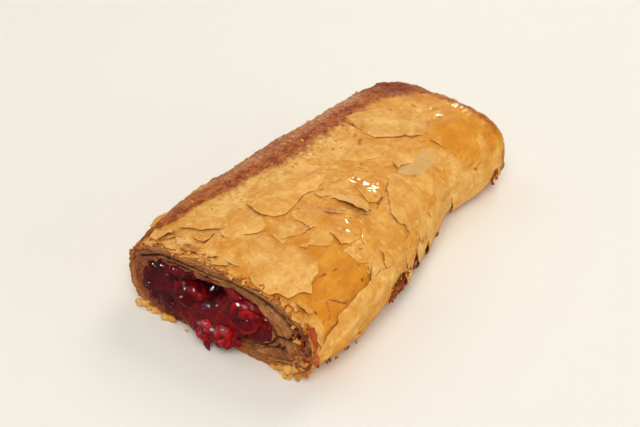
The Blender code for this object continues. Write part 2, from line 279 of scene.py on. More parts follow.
def skin_relief(points, across, along):
    """How far each point of the skin stands out, without the torn sheets."""
    shape = across.shape
    flat = points.reshape(-1, 3)
    place = flat_points(across, along)
    wave = blender_noise.noise
    coarse = [wave(Vector(p) / BUMP_SIZE) + 0.5 * wave(Vector(p) * 2.6 / BUMP_SIZE) for p in flat]
    waves = fractal(place, (8.0, 26.0, 1.0), 1)
    folds = 1 - np.abs(fractal(place + 3.0 * waves[:, None], (5.5, 30.0, 1.0), 2, 2)) * 2.4
    grain = fractal(flat, 1.5, 3, 2)
    lumps = fractal(flat, 3.4, 4, 2)
    a, b = across.ravel(), along.ravel()
    strip = strip_mask(across, along).ravel()
    end = end_mask(b)
    right = between(a, 24, 38, 72, 84)
    out = BUMP * np.array(coarse) + 0.30 * waves + 0.40 * fractal(place, (16.0, 22.0, 1.0), 6, 2)
    out += (0.22 + 0.3 * right + 0.25 * end) * np.clip(folds, 0, 1)
    out += strip * (1.0 * np.abs(lumps) + 0.65 * grain)
    out += 0.07 * grain + 0.08 * lumps
    out += end * 0.5 * fractal(flat, (6.0, 11.0, 8.0), 5, 2)
    out -= dent_depths(across, along)
    fade = smooth(0.2, 4.0, flat[:, 2])
    return (out * fade).reshape(shape)


class Skin:
    """The roll's finished skin: its rings, and a table to look up any place on it."""

    STEP = 0.5
    REACH = 112.0

    def __init__(self):
        bare, self.across, self.along = skin_grid()
        normals = grid_normals(bare)
        relief = skin_relief(bare, self.across, self.along)
        cap = STRAIGHT_ROWS + END_ROWS
        relief[cap:] *= np.linspace(1, 0.3, len(relief) - cap)[:, None]
        self.rows = bare + normals * relief[..., None]
        self.rows[..., 2] = np.maximum(self.rows[..., 2], 0.0)
        self.rows[0, :, 1] += 0.5 + 0.7 * noise(self.rows[0], 3.0, 8)
        self.normals = grid_normals(self.rows)
        self.normals[0] = self.normals[2]
        self.places = self.along[:, 0]
        table = np.arange(-self.REACH, self.REACH + self.STEP, self.STEP)
        self.table = [self.spread_row(i, table) for i in range(len(self.rows))]
        self.table = np.array(self.table)

    def spread_row(self, i, table):
        """Place and normal at even distances across one ring."""
        order = np.argsort(self.across[i])
        both = np.concatenate([self.rows[i], self.normals[i]], axis=1)[order]
        return np.stack([np.interp(table, self.across[i][order], both[:, k]) for k in range(6)], axis=1)

    def point(self, across, along, height):
        """One point at a height above the skin."""
        return self.at(np.array([across]), np.array([along]), np.array([height]))[0]

    def at(self, across, along, height):
        """Points at a height above the skin."""
        row = np.interp(along, self.places, np.arange(len(self.places)))
        column = np.clip((across + self.REACH) / self.STEP, 0, self.table.shape[1] - 1.001)
        r0, c0 = np.minimum(row.astype(int), len(self.places) - 2), column.astype(int)
        fr, fc = (row - r0)[:, None], (column - c0)[:, None]
        first = self.table[r0, c0] * (1 - fc) + self.table[r0, c0 + 1] * fc
        second = self.table[r0 + 1, c0] * (1 - fc) + self.table[r0 + 1, c0 + 1] * fc
        both = first * (1 - fr) + second * fr
        over = np.minimum(along - CUT_Y, 0.0)
        points = both[:, :3] + unit(both[:, 3:]) * np.asarray(height)[:, None]
        points[:, 1] += over
        points[:, 2] -= OVERHANG_DROOP * over**2
        return points


# ---------------------------------------------------------------- meshes


def ring_faces(rings, count):
    """Quads between each ring of a tube and the next."""
    i = np.arange(count)
    j = (i + 1) % count
    starts = np.arange(rings - 1)[:, None] * count
    quads = np.stack([starts + i, starts + j, starts + count + j, starts + count + i], axis=-1)
    return quads.reshape(-1, 4).tolist()


class Shape:
    """A mesh in the making: points in millimetres, faces, and a value of each mask at every point."""

    def __init__(self, *masks):
        self.points, self.faces = [], []
        self.masks = {name: [] for name in masks}
        self.count = 0

    def add(self, points, faces, **values):
        """Adds a body. A mask's value is one number, or one for each point."""
        points = np.asarray(points, float)
        self.points.append(points)
        self.faces.extend([[self.count + i for i in face] for face in faces])
        for name, parts in self.masks.items():
            parts.append(np.ones(len(points)) * values.get(name, 0.0))
        self.count += len(points)

    def make(self, name, material, nodes, sharp=None):
        """The finished piece, which rides on the part and stands for its CAD nodes."""
        mesh = bpy.data.meshes.new(name)
        mesh.from_pydata((np.concatenate(self.points) * MM).tolist(), [], self.faces)
        for mask, parts in self.masks.items():
            attribute = mesh.attributes.new(mask, "FLOAT", "POINT")
            attribute.data.foreach_set("value", np.clip(np.concatenate(parts), 0, 1))
        mesh.validate()
        mesh.shade_smooth()
        if sharp:
            mesh.set_sharp_from_angle(angle=math.radians(sharp))
        mesh.materials.append(material)
        piece = bpy.data.objects.new(name, mesh)
        bpy.context.scene.collection.objects.link(piece)
        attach(piece, "root")
        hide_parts(*nodes)
        return piece


CRUST_MASKS = ("brown", "pale", "gloss", "specks", "stain", "dark", "grey")

# Narrow dents in the skin, which are also painted darker as shade: both ends (across, along), half width and
# depth
DENTS = (
    ((-16, 31), (-5, 30), 1.0, 0.9),
    ((24, 4), (27, -10), 0.8, 0.8),
    ((-30, -70), (-27, -72), 1.2, 1.2),
    ((-14, -64), (-14, -70), 0.8, 0.7),
    ((0, 19), (-2, 22), 0.9, 0.5),
)


def dent_depths(across, along, shares_only=False):
    """How deep the dents are at places on the skin, or only how near, from 0 to 1."""
    place = np.stack([np.ravel(across), np.ravel(along)], axis=1)
    total = np.zeros(len(place))
    for start, end, half_width, depth in DENTS:
        start, end = np.array(start, float), np.array(end, float)
        side = end - start
        t = np.clip((place - start) @ side / (side @ side), 0, 1)
        away = np.linalg.norm(place - start - t[:, None] * side, axis=1)
        total += (1.0 if shares_only else depth) * bell(away / half_width)
    return total


# Places where the glaze is thick and shines: across, along and radius
GLAZED = (
    (12, -4.5, 2.2), (15.5, -6, 2.4), (19.5, -5.5, 2.4), (22.5, -2, 2.2), (25.5, -31, 3.0),
    (30.5, -32, 2.6), (20.5, -33.5, 2.4), (12.5, 56.5, 2.0), (8, 61.5, 2.0), (12.5, 71, 2.0),
    (17.5, 69.5, 2.0), (22, 68.5, 2.0), (27, 68, 2.2), (33, 66.5, 2.2), (38, 64, 2.0), (35, -73, 1.6),
)

# Small burnt dots and streaks on the crust: a line (across, along) and half width
BURNT_SPREAD, BURNT_STRENGTH = 0.75, 0.8
BURNT = (
    (((45.5, -53.5), (45.2, -52.6)), 0.7), (((46.5, -59.5), (46.0, -58)), 0.8),
    (((44.5, -47), (44, -46)), 0.7), (((43, -41), (42, -40)), 0.7), (((40, -43.5), (39, -43)), 0.6),
    (((45.5, -72), (45, -71)), 0.8), (((41.5, -72.5), (40.5, -72)), 0.8),
    (((34.5, -54), (35, -52)), 0.7), (((32.5, -60), (33.4, -57)), 0.8), (((35.5, -37), (36, -36)), 0.7),
    (((29.5, -8), (30, -7)), 0.6), (((28, -12.5), (28, -11)), 0.6), (((26.5, -16), (27, -15)), 0.6),
    (((43, 52), (43.6, 53)), 0.8), (((23, -25.5), (24, -25)), 0.5), (((13, 3.5), (14, 4)), 0.6),
    (((10, -17.5), (10.5, -16.6)), 0.6), (((14, -42.5), (14.4, -41.6)), 0.5),
    (((41, -64.5), (44, -62), (46.5, -59.5)), 0.6), (((41, -66), (46.5, -69)), 0.6),
    (((-8.5, 17.5), (-7.6, 18)), 0.7), (((-5.5, 22.5), (-4.6, 23)), 0.8),
    (((-2, 22.5), (-1, 22.6)), 0.8), (((0, 18.5), (0.8, 19)), 0.7), (((-10.5, 15.5), (-9.5, 16)), 0.8),
    (((-14.5, 27.5), (-13, 27)), 0.8), (((-14, -29), (-13.4, -28.4)), 0.6),
    (((-16, -34.5), (-15.4, -34)), 0.6), (((-18, -34), (-17.4, -33)), 0.6),
    (((-17, -39), (-16.2, -38.6)), 0.6), (((-19.5, -25.5), (-19, -25)), 0.6),
    (((-14, -24), (-13.4, -23.6)), 0.6), (((-14, -18), (-13.4, -17.6)), 0.6),
    (((-14.5, -16), (-14, -15.4)), 0.6), (((-19, -41), (-18.4, -40.4)), 0.6),
)


def burnt(across, along):
    """How burnt a place is by the small dots and streaks, from 0 to 1."""
    place = np.stack([np.ravel(across), np.ravel(along)], axis=1)
    near = [bell(line_distance(place, line) / (BURNT_SPREAD * wide)) for line, wide in BURNT]
    return BURNT_STRENGTH * np.maximum.reduce(near)


def glazed(across, along):
    """How thickly glazed a place is, from 0 to 1."""
    near = [bell((across - a) / r, (along - b) / r) for a, b, r in GLAZED]
    return np.clip(1.1 * np.maximum.reduce(near), 0, 1)


def skin_pale(across, along):
    """How pale the skin is, from 0 to 1: its own paleness, with painted light on the right side."""
    across, along = np.ravel(across), np.ravel(along)
    mottle = fractal(flat_points(across, along), 9.0, 31)
    right_front = between(across, 24, 31, 47, 53) * (1 - smooth(-42, -34, along))
    middle = between(across, 6, 14, 26, 34) * (1 - smooth(-34, -26, along)) * 0.6
    far_end = between(across, 6, 16, 38, 48) * smooth(40, 48, along) * 0.8
    golden = np.maximum.reduce([right_front, middle, far_end * (1 - smooth(34, 42, across))])
    # paler toward the right side: partly its pale sheets, partly painted light on a side the lamps light weakly
    side = 0.85 * smooth(40, 52, across) * smooth(-30, 20, along)
    left = 0.65 * between(across, -34, -26, -6, 4) * (1 - smooth(10, 30, along))
    return np.clip(0.42 + 0.40 * mottle - 0.50 * golden + side + left, 0, 1)


def skin_masks(across, along, height):
    """The crust's masks at places on the skin, which lie at a height above the floor."""
    place = flat_points(across, along)
    a, b, z = np.ravel(across), np.ravel(along), np.ravel(height)
    strip = strip_mask(a, b)
    mottle = fractal(place, 9.0, 31)
    low_side = 1 - smooth(1.5, 9, z)
    under = 1 - smooth(0.02, 0.6, z)
    far_left = 1.1 * bell((a + 18) / 11, (b - 68) / 10)
    end_edge = bell((b - 74 - 2 * mottle) / 4.5) * (0.55 + 0.40 * noise(place, 7.0, 33))
    dents = dent_depths(a, b, shares_only=True)
    foot = np.maximum(0.3 * low_side, 0.5 * under)
    # brown: real browning, with painted shade in the dents
    brown = np.maximum.reduce([strip, far_left, end_edge, foot, 0.7 * dents, burnt(a, b)])
    gloss = 0.18 + 0.12 * noise(place, 9.0, 34) + 0.12 * end_mask(b) + glazed(a, b)
    left_top = between(a, -34, -24, -4, 8) * (1 - smooth(52, 64, b))
    right_base = between(a, 26, 34, 50, 60) * (1 - smooth(-38, -26, b))
    inner = np.interp(b, STRIP_ALONG, STRIP_INNER)
    border = bell((a - inner - 3.5) / 4.5) * (1 - smooth(56, 66, b))
    specks = np.maximum.reduce([0.7 * left_top * (0.6 + 0.6 * mottle), 0.25 * right_base, border])
    stain = bell((a - 47) / 2.2, (b + 79) / 2.4)
    dark = 1.2 * bell((a + 19) / 12, (b - 68) / 7) * (0.9 + 0.4 * mottle)
    # painted shade: the dents are darkened too
    dark = np.maximum(dark, 0.25 * dents)
    grey = strip * between(inner - a, 6, 15, 30, 42) * (1 - smooth(50, 60, b))
    grey = grey * (0.62 + 0.5 * mottle + 0.5 * smooth(5, 30, b))
    values = (brown, skin_pale(a, b), gloss, specks, stain, dark, grey)
    return dict(zip(CRUST_MASKS, values))


def inward_from(front):
    """The direction from each point of the front ring to the ring's middle."""
    middle = np.array((0.0, 0.0, front[:, 2].mean()))
    return unit((middle - front) * np.array((1.0, 0.0, 1.0)))


def make_skin(skin, material):
    """The crust: the whole outer skin, with a recess in its front for the layers of the cut, and the
    filling's space behind that."""
    shape = Shape(*CRUST_MASKS)
    rows = skin.rows
    front = rows[0]
    lip = front + inward_from(front) * WALL
    back = lip.copy()
    back[:, 1] = CUT_Y + RECESS
    inner = [at_height(spread(hollow(y), SHARES)[0], y) for y in (CUT_Y + RECESS, HOLLOW_END_Y)]
    rings = np.array([*reversed(inner), back, lip, *rows])
    count = len(rings)
    masks = skin_masks(skin.across, skin.along, rows[..., 2])
    inside = np.zeros(4 * AROUND)
    values = {name: np.concatenate([inside, np.ones(rows[..., 0].size) * v]) for name, v in masks.items()}
    faces = ring_faces(count, AROUND)
    faces.append(list(range(AROUND))[::-1])
    last = (count - 1) * AROUND
    faces.append([last + i for i in range(AROUND)])
    shape.add(rings.reshape(-1, 3), faces, **values)
    return shape.make("crust", material, ("pastry",))


# ---------------------------------------------------------------- torn sheets


def inside(points, outline):
    """Which points lie inside a closed outline."""
    x, y = points[:, 0][:, None], points[:, 1][:, None]
    a, b = outline, np.roll(outline, -1, axis=0)
    crosses = (a[:, 1] > y) != (b[:, 1] > y)
    at = a[:, 0] + (y - a[:, 1]) / np.where(b[:, 1] == a[:, 1], 1e-9, b[:, 1] - a[:, 1]) * (b[:, 0] - a[:, 0])
    return (crosses & (x < at)).sum(axis=1) % 2 == 1


def edge_distance(points, outline):
    """Distance from each point to a closed outline."""
    a, b = outline, np.roll(outline, -1, axis=0)
    side = b - a
    length = np.maximum((side**2).sum(axis=1), 1e-9)
    t = np.clip(((points[:, None] - a) * side).sum(axis=2) / length, 0, 1)
    return np.linalg.norm(points[:, None] - (a + t[..., None] * side), axis=2).min(axis=1)


def torn(outline, spacing, ragged, seed):
    """An outline with its corners kept and its sides torn."""
    corners = np.asarray(outline, float)
    points = []
    for start, end in zip(corners, np.roll(corners, -1, axis=0)):
        steps = max(2, int(np.linalg.norm(end - start) / spacing))
        points.append(start + (end - start) * np.arange(steps)[:, None] / steps)
    edge = np.concatenate(points)
    side = unit(np.roll(edge, -1, axis=0) - np.roll(edge, 1, axis=0))
    outward = np.stack([side[:, 1], -side[:, 0]], axis=1)
    place = flat_points(edge[:, 0], edge[:, 1])
    tear = 0.7 * noise(place, 4.0, seed) + 0.6 * noise(place, 1.7, seed + 1) + 0.4 * noise(place, 0.9, seed + 2)
    return edge + outward * (ragged * tear)[:, None]


def flat_mesh(edge, spacing):
    """Triangles that fill a torn outline, with points spread evenly over it."""
    low, high = edge.min(axis=0), edge.max(axis=0)
    xs = np.arange(low[0], high[0], spacing)
    ys = np.arange(low[1], high[1], spacing * 0.87)
    grid = np.array([(x + (k % 2) * spacing / 2, y) for k, y in enumerate(ys) for x in xs])
    grid = grid.reshape(-1, 2)
    if len(grid):
        grid = grid[inside(grid, edge)]
    if len(grid):
        grid = grid[edge_distance(grid, edge) > 0.55 * spacing]
    points = [Vector(p) for p in np.concatenate([edge, grid])]
    made = delaunay_2d_cdt(points, [], [list(range(len(edge)))], 1, 1e-5)
    return np.array([tuple(p) for p in made[0]]), [list(f) for f in made[2] if len(f) == 3]


def leaf_solid(count, triangles):
    """Faces of a thin solid from the triangles of its one side: upper points first, then lower."""
    edges = {(f[k], f[(k + 1) % 3]) for f in triangles for k in range(3)}
    rim = [(a, b) for a, b in edges if (b, a) not in edges]
    under = [[count + i for i in reversed(f)] for f in triangles]
    return [*triangles, *under, *[[b, a, count + a, count + b] for a, b in sorted(rim)]]


# Each torn sheet: its outline, which way its free edge points (degrees, 0 to the right and -90 to
# the cut), how far that edge lifts, how thick a pile it lies on, paleness, browning, gloss, greyness
SHEETS = {
    "far_tan": (
        ((-17, 34), (-16, 39), (-14, 43), (-9, 50), (-5, 55), (1, 58), (7, 58), (11, 56), (13, 51),
         (16, 46), (17, 42), (15, 37), (11, 34), (7, 29.5), (3, 26), (-2, 27), (-8, 30), (-13, 32)),
        -60, 0.5, 0.2, 0.75, 0.22, 0.15, 0.15),
    "grey_patch": (
        ((22, 12), (22, 18), (23, 24), (22, 29), (21, 33), (23, 37), (26, 40), (29, 42.5), (32, 44.5),
         (35, 44), (38, 42), (40, 38), (40, 35), (37, 35), (33, 35), (31, 31), (30, 25), (30, 20), (27, 15)),
        -100, 0.15, 0.1, 0.75, 0.0, 0.45, 0.95),
    "far_end": (
        ((12, 55), (14, 49), (17.5, 44.5), (21.5, 41.5), (25.5, 41.5), (29.5, 43.5), (33.5, 44.5),
         (37, 43), (41, 46), (42, 52), (40, 58), (35, 64.5), (30, 68), (22, 68), (15, 67), (10, 64)),
        -120, 0.6, 0.3, 0.15, 0.0, 0.5, 0.0),
    "bright_tip": (
        ((12, 24), (13.5, 27), (16.5, 29), (20, 29.5), (23, 27.5), (25, 24.5), (23, 21.5), (22, 17),
         (22, 14), (19.5, 15), (16, 19)),
        -60, 0.7, 0.35, 0.55, 0.0, 0.4, 0.0),
    "upper_left": (
        ((3, -19), (1, -22.5), (1, -29), (2, -34), (2, -39.5), (1, -42), (0, -44.5), (-4, -46),
         (-8, -46), (-11, -44.5), (-14, -43), (-17, -39.5), (-20, -35), (-22, -25), (-20, -14),
         (-14, -8), (-6, -4), (0, -7), (3, -14)),
        -45, 0.8, 0.3, 0.62, 0.0, 0.2, 0.0),
    "ridge_top": (
        ((2.5, -20), (4, -16.5), (8.5, -15), (10.5, -16), (10, -18.5), (9, -21), (7, -22.5), (4.5, -22)),
        -60, 0.6, 0.25, 0.6, 0.0, 0.2, 0.0),
    "left_mid": (
        ((-22, -45), (-17, -44), (-13.5, -43), (-8.5, -45), (-4, -46.5), (0, -49.5), (1, -53),
         (0, -56), (-2.5, -59), (-5, -62), (-7, -64.5), (-10, -64), (-13, -61), (-15, -55.5),
         (-18, -52)),
        -60, 0.7, 0.25, 0.72, 0.0, 0.2, 0.0),
    "left_front": (
        ((-30.5, -65.5), (-30.5, -62), (-28, -58), (-23, -54), (-17, -52), (-12, -54), (-10.5, -58.5),
         (-12.5, -61), (-16, -63), (-19.5, -66), (-23, -67.5), (-27, -68.5)),
        -70, 0.9, 0.25, 0.75, 0.0, 0.2, 0.0),
    "flap_low": (
        ((-22, -67), (-19, -65), (-15.5, -63), (-14, -65.5), (-13.5, -68.5), (-14, -70.5),
         (-15.5, -71), (-18.5, -70)),
        -70, 0.7, 0.3, 0.45, 0.0, 0.3, 0.0),
    "hanging": (
        ((-14.5, -63.5), (-12, -61), (-8.5, -64.5), (-7, -67.5), (-6, -72), (-4, -76), (-5, -77.5),
         (-7.5, -74), (-10, -70), (-12.5, -67)),
        -80, 0.5, 0.2, 0.35, 0.0, 0.45, 0.0),
    "ledge": (
        ((-8, -66.5), (-5, -63.5), (-2.5, -59), (1, -54), (9, -54), (9.5, -58), (7, -61.5), (6, -65),
         (8.5, -69), (8.5, -71.5), (10, -74), (7, -73.5), (3, -72), (-2.5, -69), (-6, -68)),
        -80, 0.5, 0.15, 0.4, 0.0, 0.45, 0.0),
    "grey_lens": (
        ((-4, -63.5), (0, -60.5), (2, -58), (6, -56.5), (6, -60), (2, -62), (0, -64)),
        -80, 0.2, 0.2, 0.6, 0.0, 0.4, 0.7),
    "tail": (
        ((-5, -71.5), (-4, -69), (0, -70.5), (3.5, -72.5), (7.5, -75), (5, -76), (1, -75), (-2.5, -73.5)),
        -90, 1.2, 0.5, 0.9, 0.0, 0.3, 0.6),
    "ridge_left": (
        ((3.5, -44), (4, -42), (8, -40), (10.5, -40), (14, -41), (14.5, -43.5), (13, -47),
         (12.5, -49.5), (11.5, -52), (10, -53.5), (7.5, -51.5), (5, -48)),
        -110, 0.6, 0.35, 0.7, 0.0, 0.25, 0.0),
    "wavy_ridge": (
        ((15, -46.5), (15, -44), (15.5, -41), (16, -37.5), (19, -37.5), (23, -38.5), (26, -39.5),
         (29, -40), (31, -37.5), (31.5, -34.5), (32.5, -31.5), (30.5, -26), (27.5, -21.5),
         (22.5, -24), (17.5, -27.5), (12, -29.5), (7.5, -31), (6.5, -35.5), (6, -39.5), (9.5, -40),
         (13, -41)),
        -85, 0.9, 0.35, 0.4, 0.0, 0.7, 0.0),
    "under_curl": (
        ((7, -29), (11, -27), (14, -24), (17, -20), (23, -18), (27, -19), (26, -21.5), (22, -23.5),
         (18, -27), (13, -29.5)),
        -90, 0.5, 0.3, 0.5, 0.35, 0.2, 0.2),
    "curled_tip": (
        ((12.5, -14), (14, -10.5), (16.5, -9.5), (20, -11), (23.5, -13), (26, -15), (27.5, -18.5),
         (27, -20.5), (23.5, -21), (20, -21), (17, -21), (15, -22), (13, -20), (11.5, -21), (11, -18)),
        -70, 1.9, 0.7, 0.85, 0.0, 0.25, 0.0),
    "glossy_flap": (
        ((11.5, -5), (10.5, -1.5), (12, 2.5), (16, 6), (20, 7), (23, 2.5), (26, -2), (26, -6.5),
         (26, -11), (24, -13), (20, -11), (16, -9.5), (13.5, -8.5)),
        -70, 0.6, 0.35, 0.25, 0.0, 1.0, 0.0),
    "right_top": (
        ((21, 7), (21.5, 9), (24, 13), (27.5, 17.5), (32, 19.5), (36, 19.5), (39, 16), (41.5, 12.5),
         (43, 5.5), (44, -0.5), (43, -8), (40, -9.5), (37.5, -9), (34.5, -9.5), (31.5, -7.5),
         (28.5, -4.5), (25.5, 0), (23.5, 4.5)),
        -110, 0.7, 0.35, 0.5, 0.0, 0.3, 0.1),
    "right_lobe": (
        ((26.5, -1), (27, 4.5), (29, 9), (32, 10), (36.5, 9.5), (39.5, 6), (40.5, 1), (41, -5),
         (40.5, -9), (38, -11), (34, -10.5), (30, -6.5)),
        -75, 0.5, 0.6, 0.4, 0.0, 0.3, 0.15),
    "right_smooth": (
        ((27.5, -20.5), (28, -16), (31, -11.5), (34.5, -10), (38.5, -10), (41.5, -10), (44.5, -10),
         (45.5, -16.5), (44.5, -24), (42, -29), (39.5, -33), (37.5, -34.5), (33.5, -32.5), (30, -27)),
        -100, 0.5, 0.25, 0.45, 0.0, 0.3, 0.0),
    "right_low": (
        ((41, -9.5), (41, -2), (42, 3), (46.5, 5), (50, 0.5), (53, -4), (55, -11), (57, -18),
         (54, -24), (50, -27), (47.5, -33), (45, -32.5), (42, -28), (44, -23), (45.5, -16), (44.5, -10)),
        -50, 0.7, 0.4, 0.6, 0.0, 0.25, 0.0),
    "side_facet": (
        ((40, 22), (42, 12), (47, 5), (53, 3), (59, 8), (58, 17), (60, 26), (55, 34), (48, 36), (42, 30)),
        -40, 0.8, 0.3, 0.85, 0.0, 0.3, 0.0),
    "side_far": (
        ((38, 34), (44, 33), (52, 36), (60, 40), (62, 50), (60, 60), (55, 68), (47, 70), (41, 66),
         (42, 52)),
        -20, 0.7, 0.25, 1.2, 0.0, 0.35, 0.0),
    "side_sheet": (
        ((46.5, -44), (47, -49), (47, -54), (47.5, -60), (47.5, -65.5), (49, -68), (50, -73),
         (54, -78), (60, -77), (66, -70), (67, -60), (68, -50), (65, -40), (62, -33), (58, -27),
         (54, -23.5), (49, -27), (47.5, -32), (46, -37), (47, -40.5)),
        175, 0.7, 0.35, 0.55, 0.0, 0.25, 0.0),
    "sliver": (
        ((40.5, -31), (43, -32), (45, -34.5), (46, -38), (47, -42), (46.5, -43.5), (45, -42.5),
         (43.5, -39.5), (41.5, -34.5)),
        -20, 0.8, 0.9, 1.0, 0.0, 0.2, 0.2),
    "big_front": (
        ((7, -64.5), (9, -62), (10, -59.5), (10, -56), (11, -53), (11.5, -50.5), (13.5, -48.5),
         (17.5, -49), (22, -50.5), (26.5, -53.5), (31, -59), (32, -62.5), (32.5, -65.5), (35, -68),
         (32.5, -70), (31.5, -72), (30, -76), (26, -77), (24, -79), (20, -80), (17, -79),
         (15, -77.5), (11, -75), (8.5, -70.5), (8.5, -66.5)),
        -80, 0.7, 0.5, 0.85, 0.0, 0.15, 0.0),
    "side_tip_far": (
        ((50, 22), (55, 17), (61, 19), (65, 24), (61, 30), (53, 31)),
        -30, 2.4, 0.3, 1.1, 0.0, 0.25, 0.0),
    "side_tip_middle": (
        ((49, 9), (55, 5), (62, 7), (64, 14), (58, 19), (52, 18)),
        -40, 2.4, 0.3, 1.0, 0.0, 0.25, 0.0),
    "side_tip_near": (
        ((50, -3), (57, -8), (64, -4), (64, 4), (57, 8), (52, 6)),
        -40, 2.2, 0.3, 1.1, 0.0, 0.25, 0.0),
    "side_tip_front": (
        ((51, -17), (58, -21), (64, -16), (64, -9), (57, -6), (53, -9)),
        -40, 2.0, 0.3, 1.0, 0.0, 0.25, 0.0),
    "tunnel": (
        ((-35, -72), (-33.5, -69.5), (-31, -69), (-29, -72), (-28, -75), (-30, -77), (-33, -76)),
        -20, 1.6, 0.3, 0.8, 0.0, 0.2, 0.2),
    "corner_flap": (
        ((-48, -62), (-46, -67), (-41, -68.5), (-39, -64), (-41, -59), (-45, -58)),
        175, 1.6, 0.3, 0.6, 0.1, 0.2, 0.0),
}
# Folds in a sheet: the line that stands highest, its height and the width of each slope; a pale line along the
# top is a painted highlight
FOLDS = {
    "big_front": (((12.5, -51.5), (17, -56.5), (21.5, -59.5), (26, -62), (32.5, -64)), 1.1, 9.0),
    "side_sheet": (((50, -30), (53, -45), (54, -60), (56, -74)), 0.8, 7.0),
    "far_tan": (((-8, 36), (4, 40), (14, 46)), 0.5, 4.0),
    "upper_left": (((-12, -40), (-4, -28), (0, -12)), 0.5, 7.0),
}
SHEET_SPACING = 0.95
# The number of the first sheet of each kind: a sheet's number sets how it is torn and rippled
MAIN_FIRST, PATCH_FIRST, RIM_FIRST = 200, 300, 400
SHEET_THICK = 0.34
EDGE_SHADOW_BROWN = 0.75  # how brown the lower rim of a sheet is: a painted shadow under its edge, partly also a toasted rim, which shows as a thin dark line
SHEET_ROOT = 0.5  # how deep the rooted edge of a sheet is sunk in the skin


def line_distance(points, line):
    """Distance from each point to a line of several parts."""
    line = np.array(line, float)
    away = np.full(len(points), np.inf)
    for start, end in zip(line, line[1:]):
        side = end - start
        t = np.clip((points - start) @ side / (side @ side), 0, 1)
        away = np.minimum(away, np.linalg.norm(points - start - t[:, None] * side, axis=1))
    return away


def add_sheet(shape, skin, index, row, ragged=0.55, spacing=SHEET_SPACING, fold=None):
    """Adds one torn sheet that follows the skin: rooted on one side, free and lifted on the other."""
    outline, facing, lift, pile, pale, brown, gloss, grey = row
    edge = torn(outline, spacing * 0.75, ragged, 100 + 3 * index)
    flat, triangles = flat_mesh(edge, spacing)
    facing = math.radians(facing)
    toward = flat @ np.array((math.cos(facing), math.sin(facing)))
    size = toward.max() - toward.min()
    t = (toward - toward.min()) / size
    rim = edge_distance(flat, edge)
    place = flat_points(flat[:, 0], flat[:, 1])
    free = smooth(0.25, 1.0, t)
    rooted = 1 - smooth(0.0, 0.35, t)
    ripple = fractal(place, (6.0, 6.0, 1.0), 300 + index, 2)
    turn = 2.4 * index
    turned = np.array(((math.cos(turn), math.sin(turn)), (-math.sin(turn), math.cos(turn))))
    grain = flat_points(*(turned @ flat.T))
    folds = np.clip(1 - 2.5 * np.abs(fractal(grain, (3.2, 14.0, 1.0), 700 + index, 2)), 0, 1)
    reach = min(1.0, size / 16)
    height = pile * (1 - rooted) - (SHEET_ROOT + 0.2) * rooted
    height += lift * free**1.6 * (0.85 + 0.35 * ripple)
    height += lift * 0.45 * np.exp(-rim / 1.4) * free * (0.35 + noise(place, 7.0, 400 + index))
    height += (1 - rooted) * reach * smooth(0, 3.5, rim) * (0.35 + 0.6 * ripple + 0.4 * folds)
    height -= 0.25 * np.exp(-rim / 0.8) * (1 - free)
    fold_highlight = np.zeros(len(flat))
    if fold:
        line, rise, slope = fold
        away = line_distance(flat, line)
        height += rise * (1 - rooted) * np.clip(1 - away / slope, 0, 1)
        # painted highlight: a pale line along the fold's crest
        fold_highlight = np.exp(-away / 0.7)
    upper = skin.at(flat[:, 0], flat[:, 1], height)
    lower = skin.at(flat[:, 0], flat[:, 1], height - SHEET_THICK)
    mottle = fractal(place, 7.0, 500 + index)
    edge_dry = np.exp(-rim / 1.0)
    blend = smooth(0.08, 0.55, t)
    own = dict(
        brown=np.maximum(
            brown + 0.08 * mottle + 0.22 * edge_dry * smooth(0.0, 0.3, ripple), burnt(flat[:, 0], flat[:, 1])
        ),
        # the pale band along the rim is partly a dry edge and partly a painted highlight
        pale=pale + 0.45 * mottle + 0.9 * fold_highlight + 0.35 * np.exp(-rim / 0.7) + 0.15 * folds - 0.10,
        gloss=0.4 * gloss + 0.1 * mottle + glazed(flat[:, 0], flat[:, 1]),
        specks=0.2 * (1 - pale),
        stain=0.0,
        dark=0.0,
        grey=grey,
    )
    base = skin_masks(flat[:, 0], flat[:, 1], upper[:, 2] + 1.0)
    values = {name: np.clip(own[name] * blend + base[name] * (1 - blend), 0, 1) for name in own}
    values = {name: np.tile(v, 2) for name, v in values.items()}
    # painted shadow: the lower copy is browned so the sheet's rim shows as a thin dark line under its edge
    values["brown"][len(flat) :] = np.maximum(values["brown"][len(flat) :], EDGE_SHADOW_BROWN * blend)
    both = np.concatenate([upper, lower])
    both[:, 2] = np.maximum(both[:, 2], 0.15)
    shape.add(both, leaf_solid(len(flat), triangles), **values)


def blob_outline(rng, across, along, wide, long_, corners):
    """An uneven outline with a few corners."""
    angles = np.sort((np.arange(corners) + rng.uniform(-0.3, 0.3, corners)) / corners * 2 * np.pi)
    reach = rng.uniform(0.6, 1.25, corners)
    turn = rng.uniform(-0.5, 0.5)
    x, y = np.cos(angles) * reach * wide / 2, np.sin(angles) * reach * long_ / 2
    cosine, sine = math.cos(turn), math.sin(turn)
    return np.stack([across + x * cosine - y * sine, along + x * sine + y * cosine], axis=1)


def on_clear_base(across, along):
    """Whether a place is on the smooth golden skin at the front right, which stays bare."""
    return 20 < across < 48 and along < -38


